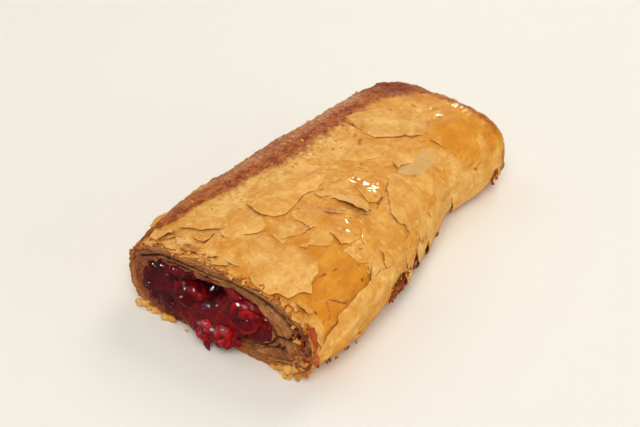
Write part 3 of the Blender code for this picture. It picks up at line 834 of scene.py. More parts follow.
def scattered_sheets(rng):
    """Loose sheets over the parts that the camera hardly sees, and a thin layer of golden ones under
    the torn sheets: the rows of each."""
    rows = []
    for across in (-64, -50, 60, 74):
        for along in np.arange(-66, 70, 19):
            spot = (across + rng.uniform(-5, 5), along + rng.uniform(-6, 6))
            outline = blob_outline(rng, *spot, rng.uniform(14, 22), rng.uniform(18, 30), 7)
            facing = -60 if across > 0 else -120
            brown = 0.42 if across < 0 else 0.2
            row = (outline, facing, rng.uniform(0.2, 0.4), 0.1, rng.uniform(0.3, 0.8), brown, 0.2, 0.0)
            if across < 0 or spot[1] > 35 or across > 70:
                rows.append(row)
    for across in np.arange(-20, 50, 9.5):
        for along in np.arange(60, -74, -13):
            spot = (across + rng.uniform(-4, 4), along + rng.uniform(-5, 5))
            wide, long_ = rng.uniform(9, 17), rng.uniform(14, 26)
            outline = blob_outline(rng, *spot, wide, long_, int(rng.integers(5, 9)))
            pale, gloss = rng.uniform(0.2, 0.7), rng.uniform(0.2, 0.9)
            row = (outline, rng.uniform(-130, -20), rng.uniform(0.15, 0.35), 0.05, pale, 0.0, gloss, 0.0)
            clear_base = on_clear_base(*spot)
            browned = spot[0] < -12 or (spot[0] < 0 and spot[1] > 50)
            if rng.random() < 0.7 and not clear_base and not browned:
                rows.append(row)
    return rows


def patch_sheets(rng):
    """Small thin scales of crust between the large sheets: their rows."""
    rows = []
    for _ in range(75):
        spot = (rng.uniform(-6, 60), rng.uniform(-62, 62))
        size = rng.uniform(3.5, 9.0)
        outline = blob_outline(rng, *spot, size, size * rng.uniform(0.6, 1.4), int(rng.integers(4, 8)))
        lift = rng.uniform(0.1, 0.5)
        tone, gloss = rng.uniform(0.1, 1.0), rng.uniform(0.1, 0.7)
        facing = rng.uniform(-130, -20)
        clear_base = on_clear_base(*spot)
        if not clear_base:
            rows.append((outline, facing, lift, 0.12, tone, 0.0, gloss, 0.0))
    for _ in range(30):
        spot = (rng.uniform(46, 64), rng.uniform(-30, 56))
        outline = blob_outline(rng, *spot, rng.uniform(10, 18), rng.uniform(5, 9), int(rng.integers(5, 8)))
        facing, lift, tone = rng.uniform(-100, -60), rng.uniform(0.5, 1.2), rng.uniform(0.7, 1.3)
        rows.append((outline, facing, lift, 0.1, tone, 0.0, 0.2, 0.0))
    return rows


def rim_sheets(rng):
    """Small broken sheets along the upper edge of the cut, some reaching past it: their rows."""
    rows = []
    for along, step, size in ((-74.0, 5.4, 11.0), (-77.0, 4.0, 8.0), (-79.0, 3.0, 5.5)):
        for across in np.arange(-33, 52, step):
            spot = (across + rng.uniform(-1.2, 1.2), along + rng.uniform(-1.2, 1.0))
            if 7 < spot[0] < 33:
                continue
            wide = size * rng.uniform(0.6, 1.25)
            outline = blob_outline(rng, *spot, wide, wide * rng.uniform(0.6, 1.1), int(rng.integers(5, 8)))
            tone = rng.random()
            brown = 0.5 * (tone < 0.22) + 0.3 * (spot[0] < -32)
            lift = rng.uniform(0.4, 1.5) * size / 7
            facing = rng.uniform(-140, -40)
            pale, grey = 0.25 + 0.75 * tone, 0.5 * (tone > 0.8)
            rows.append((outline, facing, lift, 0.1, pale, brown, 0.2, grey))
    return rows


def make_sheets(skin, material):
    """The torn sheets: golden ones close to the skin, then the large pale ones, then the rim's."""
    shape = Shape(*CRUST_MASKS)
    rng = np.random.default_rng(5)
    rows = scattered_sheets(rng)
    for index, row in enumerate(rows):
        add_sheet(shape, skin, index, row, spacing=1.3)
    for index, (name, row) in enumerate(SHEETS.items()):
        add_sheet(shape, skin, MAIN_FIRST + index, row, fold=FOLDS.get(name))
    for index, row in enumerate(patch_sheets(rng)):
        add_sheet(shape, skin, PATCH_FIRST + index, row, 0.35, 0.75)
    for index, row in enumerate(rim_sheets(rng)):
        add_sheet(shape, skin, RIM_FIRST + index, row, 0.35, 0.6)
    return shape.make("torn_sheets", material, ("pastry",), sharp=35)


# ---------------------------------------------------------------- the cut

CUT_RINGS = 100
LAYER_PITCH = 0.95
GAP_DEPTH = 2.0
# Cracks between the layers, painted dark as shade: their lines (x, z) and half widths
CRACKS = (
    (((28.2, 16.9), (31.4, 17.1), (33.7, 17.7), (36.6, 20.1), (37.9, 17.8)), 0.75),
    (((19.6, 9.7), (24.3, 10.0), (29.9, 11.8), (32.6, 11.7)), 0.45),
    (((4.8, 31.9), (10.4, 32.0), (14.9, 31.6), (20.4, 30.9), (25.0, 29.6), (29.6, 27.4), (34.0, 24.0)), 0.8),
    (((34.0, 24.0), (37.6, 21.0), (39.4, 17.0)), 0.8),
    (((-38, 25), (-28, 29.6), (-16, 31.2), (-4, 31.0), (4.8, 31.9)), 0.5),
    (((-30, 27.0), (-20, 28.6), (-10, 28.9), (0, 29.2)), 0.35),
)
# Pale chunks of dough and red stains: middle (x, z) and radius
CHUNKS = (
    (34.6, 14.4, 3.0), (27.5, 25.5, 2.6), (31.5, 22.0, 2.4), (22.5, 26.8, 2.4), (36.0, 8.5, 2.4),
    (20.0, 8.0, 3.0),
)
STAINS = (
    (29.4, 12.8, 1.3), (40.2, 21.0, 2.4), (39.8, 17.5, 1.8), (41.0, 13.5, 1.8), (25.5, 19.5, 2.6),
    (39.0, 9.0, 1.8), (7.9, 29.2, 1.8), (-4.0, 27.6, 2.4),
)


def spots(flat, table):
    """How near each point of the cut is to the spots of a table, from 0 to 1."""
    near = [np.exp(-(((flat[:, 0] - x) ** 2 + (flat[:, 2] - z) ** 2) / r**2)) for x, z, r in table]
    return np.maximum.reduce(near)


def make_cut(skin, material):
    """The rolled sheets seen on edge: a ring-shaped slab with ridges, gaps and crumbs on its front."""
    shape = Shape("gap", "soak", "toast", "tone", "red")
    front = skin.rows[0]
    outer = front + inward_from(front) * (WALL * 0.35)
    outer[:, 1] = CUT_Y
    inner = at_height(spread(hollow(CUT_Y), SHARES)[0], CUT_Y)
    shares = np.linspace(0, 1, CUT_RINGS)
    rings = outer + (inner - outer) * shares[:, None, None]
    depth = np.linalg.norm(rings - outer, axis=2).ravel()
    left = np.linalg.norm(rings - inner, axis=2).ravel()
    flat = rings.reshape(-1, 3).copy()
    x, z = flat[:, 0], flat[:, 2]
    swirl = smooth(8, 26, x)
    right_end = smooth(35, 40, x)
    lip = smooth(2.4, 3.6, depth) * (1 - swirl) * smooth(16, 22, z)
    turn = np.tile(SHARES, CUT_RINGS)
    warp = 0.7 * fractal(flat, 7.0, 41, 2) + 0.9 * swirl * fractal(flat, 8.0, 42, 2)
    warp += 0.12 * fractal(flat, 1.8, 53, 2)
    level = depth / (LAYER_PITCH * (1 + 1.2 * swirl)) + turn + warp
    number = np.floor(level)
    ridge = level - number
    own = flat_points(turn * 150.0, number * 7.3)
    stand = noise(own, (9.0, 1.0, 1.0), 43) + 0.5 * noise(own, (2.5, 1.0, 1.0), 44)
    opened = smooth(-0.25, 0.35, noise(own, (12.0, 1.0, 1.0), 50) + 0.6 * fractal(flat, 3.0, 45, 2))
    gap = between(ridge, 0.45, 0.60, 0.84, 1.0) * opened * (1 - lip) * (1 - 0.4 * swirl)
    torn_line = 0.5 * fractal(flat, 1.4, 54, 2)
    for line, half_width in CRACKS:
        away = line_distance(flat[:, (0, 2)], line) + torn_line
        gap = np.maximum(gap, 1 - smooth(0.4 * half_width, 1.5 * half_width, away))
    chunk = spots(flat, CHUNKS)
    crumb = fractal(flat, 1.3, 46, 3)
    inset = -0.7 + 0.45 * stand + GAP_DEPTH * gap + (0.35 + 0.8 * right_end) * crumb
    inset += 0.5 * swirl * fractal(flat, 4.0, 51) - 0.9 * chunk + 0.5 * smooth(2, 6, depth) * lip
    flat[:, 1] = CUT_Y + np.clip(inset, -2.0, RECESS - 2)
    back = np.array((outer, inner))
    back[..., 1] = CUT_Y + RECESS - 0.2
    grid = np.concatenate([back[:1], flat.reshape(CUT_RINGS, AROUND, 3), back[1:]])[::-1]
    count = len(grid)
    faces = ring_faces(count, AROUND)
    last = (count - 1) * AROUND
    i = np.arange(AROUND)
    j = (i + 1) % AROUND
    faces += np.stack([last + i, last + j, j, i], axis=1).tolist()
    mottle = fractal(flat, 3.0, 47)
    soak = np.maximum(
        (1 - smooth(-24, -6, x)) * smooth(0.0, 2.0, depth - 1.6 - 2.0 * (1 - smooth(-40, -33, x))),
        (1 - smooth(0.6, 3.2, left)) * (1 - smooth(8, 24, x)) * 0.9,
    )
    upper_left = (1 - smooth(-22, -8, x)) * smooth(0.8, 2.0, depth) * smooth(16, 22, z)
    soak = np.maximum(soak, 0.75 * upper_left) * (0.62 + 0.6 * mottle)
    foot = 1 - smooth(2.5, 6.5, z)
    wall = (1 - smooth(-41, -34, x)) * (1 - smooth(2.5, 4.5, depth))
    toast = np.maximum.reduce([(1 - smooth(0.3, 1.8, depth)) * (1 - 0.5 * right_end), wall, 0.8 * foot])
    stains = spots(flat, STAINS)
    red = right_end * smooth(-0.25, 0.3, fractal(flat, 2.2, 49))
    red = np.maximum(red, 1.2 * stains * (0.8 + 0.5 * crumb))
    red = np.maximum(red, 0.8 * (1 - smooth(0.2, 2.0, left)) * smooth(12, 24, x))
    tone = 0.42 + 0.8 * noise(own, (8.0, 1.0, 1.0), 52) + 0.5 * mottle + 0.7 * chunk - 0.25 * foot
    # painted shade: dark in the gaps and cracks between the layers, in crumbly patches and where layers stand
    # further back
    gap_shade = 1.1 * gap + 0.5 * (1 - smooth(-0.55, -0.15, crumb)) + 0.3 * smooth(0.5, 1.3, stand)
    values = dict(gap=gap_shade, soak=soak, toast=toast, tone=tone, red=red)
    ends = np.zeros(AROUND)
    values = {
        name: np.concatenate([ends, v, ends]).reshape(count, AROUND)[::-1].ravel() for name, v in values.items()
    }
    shape.add(grid.reshape(-1, 3), faces, **values)
    return shape.make("cut_layers", material, ("pastry",))


# ---------------------------------------------------------------- filling and cherries

# Cherries: middle, half sizes and roll about Y as in the CAD, how dark and how wrinkled each is
CHERRIES = (
    ("cherry_left", (-14.2, -79.0, 17.2), (8.0, 6.6, 6.2), 12, 0.8, 0.55),
    ("cherry_right", (14.2, -80.0, 19.6), (8.0, 6.8, 7.0), -28, 0.45, 1.0),
    ("cherry_low_left", (-3.2, -84.2, 7.6), (4.0, 5.0, 5.6), 20, 0.0, 1.0),
    ("cherry_low_right", (5.4, -84.0, 8.8), (4.2, 4.8, 5.4), -10, 0.05, 1.0),
)
FILLING_FRONT = -79.4
JELLY_VOXEL = 0.53
# Lumps of the filling at the cut: middle and radius
LUMPS = (
    (-31, -79.6, 14, 4.6), (-29.5, -79.8, 9.5, 4.2), (-27, -80.0, 17, 4.2), (-25, -80.2, 10, 5.0),
    (-31.5, -79.4, 18, 3.6), (-22, -80.2, 6.5, 4.0), (-18, -80.6, 9, 4.4), (-13, -81.0, 8, 4.4),
    (-8, -81.2, 11, 4.6), (-4, -81.0, 14, 4.8), (1, -81.0, 16.5, 5.0), (-1, -82.2, 10, 4.6),
    (3, -82.2, 12.5, 4.6), (8, -81.4, 13, 4.4), (6, -80.4, 20, 4.4), (8.5, -79.8, 25.0, 3.0),
    (20, -80.0, 15.5, 3.8), (22.5, -79.4, 20, 3.0), (-23, -80.0, 20.5, 3.8), (-29, -79.8, 21, 3.4),
    (-9, -82.6, 6, 3.2), (1, -84.4, 6.4, 3.4), (-3.4, -85.0, 4.6, 2.6), (4.8, -84.4, 5.4, 3.0),
    (1.0, -86.0, 8.6, 2.4), (-6.5, -84.6, 7.6, 2.4), (8.6, -83.8, 7.6, 3.0), (-18, -82.0, 12.5, 2.6),
    (-8.2, -81.6, 15.0, 2.6), (-19.5, -81.0, 20.0, 2.4), (8.6, -82.0, 17.0, 2.8),
    (17.0, -81.2, 12.5, 2.6), (-34.2, -79.9, 12.5, 3.2), (-33.6, -80.0, 17.5, 3.0),
    (-31, -80.2, 22.4, 2.8), (-26, -80.2, 24.6, 2.8), (-20, -80.2, 25.4, 2.6), (-32.6, -80.0, 7.6, 2.6),
    (-13, -80.2, 26.2, 2.2), (-12, -81.0, 23.8, 2.0), (-16.5, -81.2, 24.0, 2.0),
    (-5.6, -82.4, 15.6, 2.6), (-22.2, -81.6, 16.0, 2.2), (6.6, -81.0, 28.4, 1.7),
    (9.4, -80.8, 27.2, 1.5), (-2.2, -86.2, 3.4, 1.6), (-1.6, -86.8, 2.0, 1.25),
    (-1.2, -87.1, 0.9, 1.15),
)
LUMP_STRETCH = (1.45, 0.62, 0.95)
# Painted shadow on the jelly over and beside the upper left cherry: a line (x, z)
SHADOW_ARC = ((-22, 22.5), (-14, 25), (-8, 22.5), (-5, 18.5), (-6, 15))
# The hollow beside the upper left cherry, painted dark as shade: its middle (x, z) and half sizes
PIT, PIT_HALF, PIT_DEPTH = (-7.5, 22.0), (7.5, 3.8), 6.0


def ball(middle, half, rings=12, segments=20):
    """Points and faces of a closed ball."""
    turns = np.linspace(0, np.pi, rings + 1)[1:-1]
    around = np.linspace(0, 2 * np.pi, segments, endpoint=False)
    points = [
        (math.sin(t) * math.cos(a), math.sin(t) * math.sin(a), math.cos(t)) for t in turns for a in around
    ]
    points += [(0, 0, 1), (0, 0, -1)]
    faces = [f[::-1] for f in ring_faces(rings - 1, segments)]
    top, bottom, last = len(points) - 2, len(points) - 1, (rings - 2) * segments
    for i in range(segments):
        j = (i + 1) % segments
        faces += [[top, i, j], [bottom, last + j, last + i]]
    return np.array(points) * half + np.array(middle, float), faces


def fused(shape, voxel, name):
    """The bodies of a shape as one skin, remeshed on an even grid: its points and faces."""
    mesh = bpy.data.meshes.new(name)
    mesh.from_pydata((np.concatenate(shape.points) * MM).tolist(), [], shape.faces)
    rough = bpy.data.objects.new(name, mesh)
    bpy.context.scene.collection.objects.link(rough)
    remesh = rough.modifiers.new("remesh", "REMESH")
    remesh.mode = "VOXEL"
    remesh.voxel_size = voxel * MM
    relax = rough.modifiers.new("relax", "SMOOTH")
    relax.iterations = 12
    made = bpy.data.meshes.new_from_object(rough.evaluated_get(bpy.context.evaluated_depsgraph_get()))
    points = np.empty(len(made.vertices) * 3)
    made.vertices.foreach_get("co", points)
    normals = np.empty(len(made.vertices) * 3)
    made.vertices.foreach_get("normal", normals)
    faces = [list(p.vertices) for p in made.polygons]
    bpy.data.objects.remove(rough, do_unlink=True)
    bpy.data.meshes.remove(mesh)
    bpy.data.meshes.remove(made)
    return points.reshape(-1, 3) / MM, normals.reshape(-1, 3), faces


def make_filling(material):
    """The cherry filling: wet lumps at the cut, and a plain body that runs on through the roll."""
    body = Shape()
    count = 96
    shares = np.arange(count) / count
    ys = np.linspace(HOLLOW_END_Y - 0.4, FILLING_FRONT, 24)
    rings = [at_height(spread(hollow(y, 0.25), shares)[0], y) for y in ys]
    faces = ring_faces(len(rings), count)
    faces.append(list(range(count))[::-1])
    faces.append([(len(rings) - 1) * count + i for i in range(count)])
    body.add(np.concatenate(rings), faces)
    for *middle, radius in LUMPS:
        body.add(*ball(middle, radius * np.array(LUMP_STRETCH)))
    points, normals, faces = fused(body, JELLY_VOXEL, "filling_rough")
    front = 1 - smooth(-77, -70, points[:, 1])
    lumps = fractal(points, 3.6, 61, 2)
    fine = 1 - 2.2 * np.abs(fractal(points, 2.6, 62, 2)) + 0.9 * noise(points, 1.1, 68)
    pit = bell((points[:, 0] - PIT[0]) / PIT_HALF[0], (points[:, 2] - PIT[1]) / PIT_HALF[1])
    points = points + normals * (front * (0.9 * lumps + 0.42 * fine))[:, None]
    points[:, 1] += PIT_DEPTH * pit * front
    points[:, 2] = np.maximum(points[:, 2], 0.1)
    shape = Shape("dark_and_shade", "red")
    left = 1 - smooth(-30, -14, points[:, 0])
    shadow_arc_away = line_distance(points[:, (0, 2)], SHADOW_ARC)
    # painted shade: the hollow is darkened
    dark_and_shade = smooth(-0.1, 0.5, fractal(points, 6.0, 63)) * 0.5 + 1.2 * pit + 0.6 * left
    # painted shadow along the arc over and beside the upper left cherry
    dark_and_shade = np.maximum(dark_and_shade, 0.8 * (1 - smooth(0.5, 5.0, shadow_arc_away + 2.0 * lumps)))
    red = smooth(-0.1, 0.5, fractal(points, 3.5, 64)) + 0.9 * (1 - smooth(5, 11, points[:, 2]))
    fragment = bell((points[:, 0] - 8) / 3.5, (points[:, 2] - 28.5) / 2.2)
    dark_and_shade = dark_and_shade * (1 - 0.8 * smooth(-82.5, -84.5, points[:, 1])) * (1 - fragment)
    red = np.maximum(red, fragment)
    shape.add(points, faces, dark_and_shade=dark_and_shade, red=red)
    return shape.make("cherry_jelly", material, ("cherry_filling",))


def make_cherry(name, middle, half, roll, darkness, wrinkled, material):
    """A cooked, pitted cherry: wrinkled, with the dent that the stone left."""
    points, faces = ball((0, 0, 0), np.ones(3), 70, 100)
    seed = np.array(middle)
    broad = fractal(points + seed, (0.9, 0.6, 0.6), 71, 2)
    folds = np.clip(1 - np.abs(fractal(points + seed, (0.8, 0.45, 0.45), 72, 2)) * 2.4, 0, 1)
    fine = fractal(points + seed, 0.22, 73, 2)
    pit = np.exp(-((points - unit(np.array((0.15, -0.9, 0.2)))) ** 2 @ np.array((1.6, 8.0, 18.0))))
    reach = 1.0 + wrinkled * (0.15 * broad - 0.12 * folds + 0.05 * fine) - 0.22 * pit
    points = points * reach[:, None] * np.array(half)
    turn = math.radians(roll)
    x, z = points[:, 0].copy(), points[:, 2].copy()
    points[:, 0] = x * math.cos(turn) + z * math.sin(turn)
    points[:, 2] = -x * math.sin(turn) + z * math.cos(turn)
    shape = Shape("dark_and_shade", "red")
    # painted shade and light: darker in the sunken folds and the stone's dent, brighter red on the swelling
    # lumps
    dark_and_shade = darkness + 0.5 * folds**2 + 0.6 * pit - 0.6 * broad
    shape.add(points + np.array(middle), faces, dark_and_shade=dark_and_shade, red=0.6 + 0.6 * broad)
    return shape.make(f"{name}_flesh", material, (name,))


# ---------------------------------------------------------------- crumbs and small flakes


def add_chip(shape, rng, middle, normal, size, curl, **values):
    """Adds one small curled flake, lying across a direction."""
    normal = np.array(normal, float) / np.linalg.norm(normal)
    side = np.cross(normal, rng.normal(size=3))
    side /= np.linalg.norm(side)
    up = np.cross(normal, side)
    outline = blob_outline(rng, 0, 0, size, size * rng.uniform(0.5, 0.9), int(rng.integers(5, 8)))
    edge = torn(outline, size / 6, size * 0.05, int(rng.integers(1000)))
    flat, triangles = flat_mesh(edge, size / 4)
    bend = curl * (flat[:, 0] / size) ** 2 * size + 0.08 * size * noise(flat_points(*flat.T), size / 2.5, 3)
    thick = rng.uniform(0.22, 0.4)
    faces = leaf_solid(len(flat), triangles)
    base = np.array(middle) + flat[:, :1] * side + flat[:, 1:] * up
    points = np.concatenate([base + (bend + thick)[:, None] * normal, base + bend[:, None] * normal])
    points[:, 2] = np.maximum(points[:, 2], 0.1)
    shape.add(points, faces, **values)


# Flakes under the lower corners of the cut: middle, size and paleness
LOW_FLAKES = (
    (-37, -80.5, 2.4, 4.0, 0.9), (-30, -80.6, 0.8, 3.0, 0.9), (29, -80.8, 0.9, 5.5, 0.8),
    (33, -81.2, 1.2, 6.0, 0.6), (37, -80.8, 2.2, 5.0, 0.4), (40, -80.4, 3.6, 4.0, 0.2),
    (26, -80.6, 0.8, 4.0, 0.7), (42, -79.6, 6.0, 3.6, 0.3), (31, -82.0, 0.6, 4.0, 0.9),
)
# Where browned flakes stand out along the foot of the right side
FOOT_FLAKES = (-74, -71, -68, -65, -61, -57, *np.arange(-31, -7, 1.1), 65.0, 66.5, 68.0)


def make_chips(skin, material):
    """Small broken flakes: along the upper edge of the cut, under its lower corners and on the side."""
    shape = Shape(*CRUST_MASKS)
    rng = np.random.default_rng(11)
    draw = rng.uniform
    for across in np.arange(-34, 52, 3.4):
        along = CUT_Y + draw(-0.2, 3.6)
        spot = skin.point(across + draw(-0.8, 0.8), along, draw(0.0, 0.9))
        lean = (draw(-0.5, 0.5), draw(-1.3, 0.5), 1.0)
        tone = rng.random()
        stain = 0.5 * (tone < 0.10) * (across > 20)
        masks = dict(pale=0.2 + 0.8 * tone, brown=0.55 * (tone < 0.28), gloss=0.2, stain=stain)
        add_chip(shape, rng, spot, lean, draw(1.8, 4.6), draw(-0.6, 0.9), **masks)
    for *place, size, tone in LOW_FLAKES:
        lean = (draw(-0.5, 0.5), -0.9, 0.7)
        add_chip(shape, rng, place, lean, size, 0.5, pale=tone, brown=0.5 * (tone < 0.5), gloss=0.3)
    for along in FOOT_FLAKES:
        near = along < -40
        for _ in range(2):
            across = draw(56, 66) if along < 0 else draw(50, 56)
            across += 1.5 * near
            spot = skin.point(across, along + draw(-1, 1), draw(0.3, 1.6))
            lean = (1.0, draw(-0.6, 0.6), draw(-0.4, 0.6))
            tone = draw(0.6, 1.0)
            size = draw(1.8, 4.4) * (0.6 if near else 1.0)
            masks = dict(pale=0.1, brown=tone, gloss=0.2, dark=0.95 * tone)
            add_chip(shape, rng, spot, lean, size, 0.6, **masks)
    for _ in range(70):
        across, along = draw(-36, 44), draw(-76, 66)
        spot = skin.point(across, along, 0.25)
        lean, size = (0.2 * rng.normal(), 0.2 * rng.normal(), 1), draw(0.8, 2.4)
        masks = dict(pale=rng.random(), brown=0.2 * rng.random(), gloss=0.3)
        add_chip(shape, rng, spot, lean, size, 0.3, **masks)
    return shape.make("small_flakes", material, ("pastry",), sharp=35)


# Crumbs that lie apart from the cut's edges: middle, radius, paleness, browning and red stain
CRUMBS = (
    (-40.0, -81.6, 1.5, 1.7, 1.0, 0.0, 0.0), (-37.4, -81.4, 2.2, 2.1, 0.9, 0.0, 0.0),
    (-35.2, -81.8, 1.4, 1.5, 0.7, 0.1, 0.0), (-32.2, -82.2, 1.1, 1.5, 1.0, 0.0, 0.0),
    (-30.2, -81.6, 0.9, 1.0, 0.8, 0.1, 0.0), (-25.8, -83.0, 1.4, 1.9, 0.8, 0.0, 0.0),
    (-23.4, -82.4, 1.8, 1.5, 0.4, 0.1, 0.0), (-14.6, -83.6, 0.5, 0.6, 1.0, 0.0, 0.0),
    (29.5, -80.7, 2.6, 1.8, 0.5, 0.1, 0.0), (32.4, -80.9, 3.4, 2.1, 0.9, 0.0, 0.0),
    (35.4, -80.8, 4.4, 1.9, 0.7, 0.1, 0.0), (38.0, -80.6, 6.4, 1.5, 0.4, 0.5, 0.1),
    (39.9, -80.7, 9.6, 1.6, 0.6, 0.4, 0.2), (41.4, -80.6, 13.0, 1.4, 0.6, 0.6, 0.3),
)
# The juice-soaked thread at the right end: places (x, y, z) and half widths along it
THREAD = (
    ((42.8, -80.0, 27.0), 1.1), ((44.0, -80.3, 24.8), 1.2), ((44.6, -80.4, 22.4), 0.6),
    ((44.8, -80.5, 20.0), 0.45), ((44.8, -80.6, 17.6), 0.45), ((45.0, -80.6, 15.6), 0.7),
    ((45.2, -80.7, 13.8), 1.3), ((44.8, -80.6, 12.4), 1.0),
)


def add_crumb(shape, middle, half, **values):
    """Adds one rough crumb."""
    points, faces = ball((0, 0, 0), half, 14, 18)
    middle = np.array(middle, float)
    size = float(np.mean(half))
    rough = 0.45 * noise(points + middle, size * 1.0, 5) + 0.35 * noise(points + middle, size * 0.45, 6)
    points = points * (1 + rough)[:, None] + middle
    points[:, 2] = np.maximum(points[:, 2], 0.05)
    shape.add(points, faces, **values)


def make_crumbs(skin, material):
    """Crumbs on the edge of the cut, under its left end and hanging from its right end."""
    shape = Shape(*CRUST_MASKS)
    rng = np.random.default_rng(23)
    for _ in range(150):
        across = rng.uniform(-76, 62)
        y = CUT_Y + rng.uniform(-0.6, 2.5)
        spot = skin.point(across, max(y, CUT_Y), rng.uniform(-1.2, 0.5))
        spot[1] = y
        tone = rng.random()
        stain = 0.8 * (rng.random() < 0.12) * (across > 15)
        half = rng.uniform(0.3, 0.8) * rng.uniform(0.6, 1.1, 3)
        brown = max(0.7 * (tone < 0.4), 0.8 * (tone < 0.8) * (across < -36))
        add_crumb(shape, spot, half, pale=tone, brown=brown, gloss=0.2, stain=stain)
    for *middle, radius, pale, brown, stain in CRUMBS:
        half = radius * rng.uniform(0.75, 1.15, 3) * np.array((1.1, 0.8, 0.7))
        add_crumb(shape, middle, half, pale=pale, brown=brown, stain=stain, gloss=0.1)
    places, widths = np.array([place for place, _ in THREAD]), [width for _, width in THREAD]
    for step in np.arange(0, len(THREAD) - 1, 0.25):
        steps = np.arange(len(THREAD))
        middle = [np.interp(step, steps, places[:, k]) for k in range(3)]
        fall = step / (len(THREAD) - 1)
        half = np.interp(step, steps, widths) * rng.uniform(0.8, 1.1, 3)
        add_crumb(shape, middle, half, pale=0.3, brown=0.6 * fall, stain=1 - 0.55 * fall, gloss=0.4)
    for _ in range(60):
        x, z = rng.uniform(34, 43), rng.uniform(6, 27)
        tone = rng.random()
        half = rng.uniform(0.4, 1.0) * rng.uniform(0.6, 1.2, 3)
        inside_edge = 1 - smooth(0.80, 1.0, math.hypot(x / 44, (z - 15) / 20))
        if inside_edge > 0.1:
            middle = (x, CUT_Y - rng.uniform(0.0, 0.9), z)
            brown, stain, dark = 0.9 * (tone < 0.85), 0.7 * (tone < 0.35), 0.6 * (tone < 0.3)
            add_crumb(shape, middle, half, pale=0.6 * tone, brown=brown, stain=stain, dark=dark)
    return shape.make("crumbs", material, ("pastry",))


# ---------------------------------------------------------------- materials


def linear(red, green, blue):
    """A colour given as it looks on a screen, 0 to 255, as the renderer's linear colour."""

    def one(value):
        value /= 255
        return value / 12.92 if value <= 0.04045 else ((value + 0.055) / 1.055) ** 2.4

    return (one(red), one(green), one(blue), 1.0)


class Nodes:
    """A material's node tree, with short ways to add to it."""

    def __init__(self, name):
        self.material = bpy.data.materials.new(name)
        self.material.use_nodes = True
        self.tree = self.material.node_tree
        self.shader = self.tree.nodes["Principled BSDF"]
        self.place = self.add("ShaderNodeTexCoord").outputs["Object"]

    def add(self, kind, **settings):
        """A new node with its settings and, by underscores for spaces, its inputs."""
        node = self.tree.nodes.new(kind)
        for name, value in settings.items():
            if name[0].isupper():
                self.put(node.inputs[name.replace("_", " ")], value)
            else:
                setattr(node, name, value)
        return node

    def put(self, socket, value):
        """Links a socket, or gives it a value."""
        if isinstance(value, bpy.types.NodeSocket):
            self.tree.links.new(value, socket)
        else:
            socket.default_value = value

    def shade(self, **values):
        """Sets the shader's inputs, with underscores for the spaces in their names."""
        for name, value in values.items():
            self.put(self.shader.inputs[name.replace("_", " ")], value)

    def mask(self, name):
        """A mask that is stored on the mesh."""
        return self.add("ShaderNodeAttribute", attribute_name=name).outputs["Fac"]

    def noise(self, size, detail=3.0, rough=0.55, stretch=None):
        """Noise from 0 to 1 with lumps about size millimetres across."""
        place = self.place
        if stretch:
            place = self.add("ShaderNodeMapping", Vector=place, Scale=stretch).outputs["Vector"]
        scale = 1 / (size * MM)
        return self.add(
            "ShaderNodeTexNoise", Vector=place, Scale=scale, Detail=detail, Roughness=rough
        ).outputs["Fac"]

    def spots(self, size):
        """Distance from the middles of scattered spots, in cells of size millimetres."""
        return self.add("ShaderNodeTexVoronoi", Vector=self.place, Scale=1 / (size * MM)).outputs["Distance"]

    def math(self, operation, first, second, clamp=False):
        node = self.add("ShaderNodeMath", operation=operation, use_clamp=clamp)
        self.put(node.inputs[0], first)
        self.put(node.inputs[1], second)
        return node.outputs[0]

    def times(self, first, second, clamp=False):
        return self.math("MULTIPLY", first, second, clamp)

    def less(self, first, second):
        return self.math("SUBTRACT", first, second)

    def step(self, value, low, high, start=0.0, end=1.0):
        """start below low, end above high, and soft between."""
        node = self.add("ShaderNodeMapRange", interpolation_type="SMOOTHSTEP")
        for socket, number in zip(node.inputs, (value, low, high, start, end)):
            self.put(socket, number)
        return node.outputs[0]

    def mix(self, share, first, second):
        """A colour between two: the second at a share of 1."""
        node = self.add("ShaderNodeMix", data_type="RGBA", Factor=share)
        self.put(node.inputs[6], first)
        self.put(node.inputs[7], second)
        return node.outputs[2]

    def patchy(self, first, second, lumps, low, high, most):
        """The first colour with soft patches of the second, at most so strong."""
        return self.mix(self.step(self.noise(*lumps), low, high, 0.0, most), first, second)

    def bump(self, height, strength, distance):
        node = self.add("ShaderNodeBump", Strength=strength, Distance=distance * MM, Height=height)
        return node.outputs["Normal"]


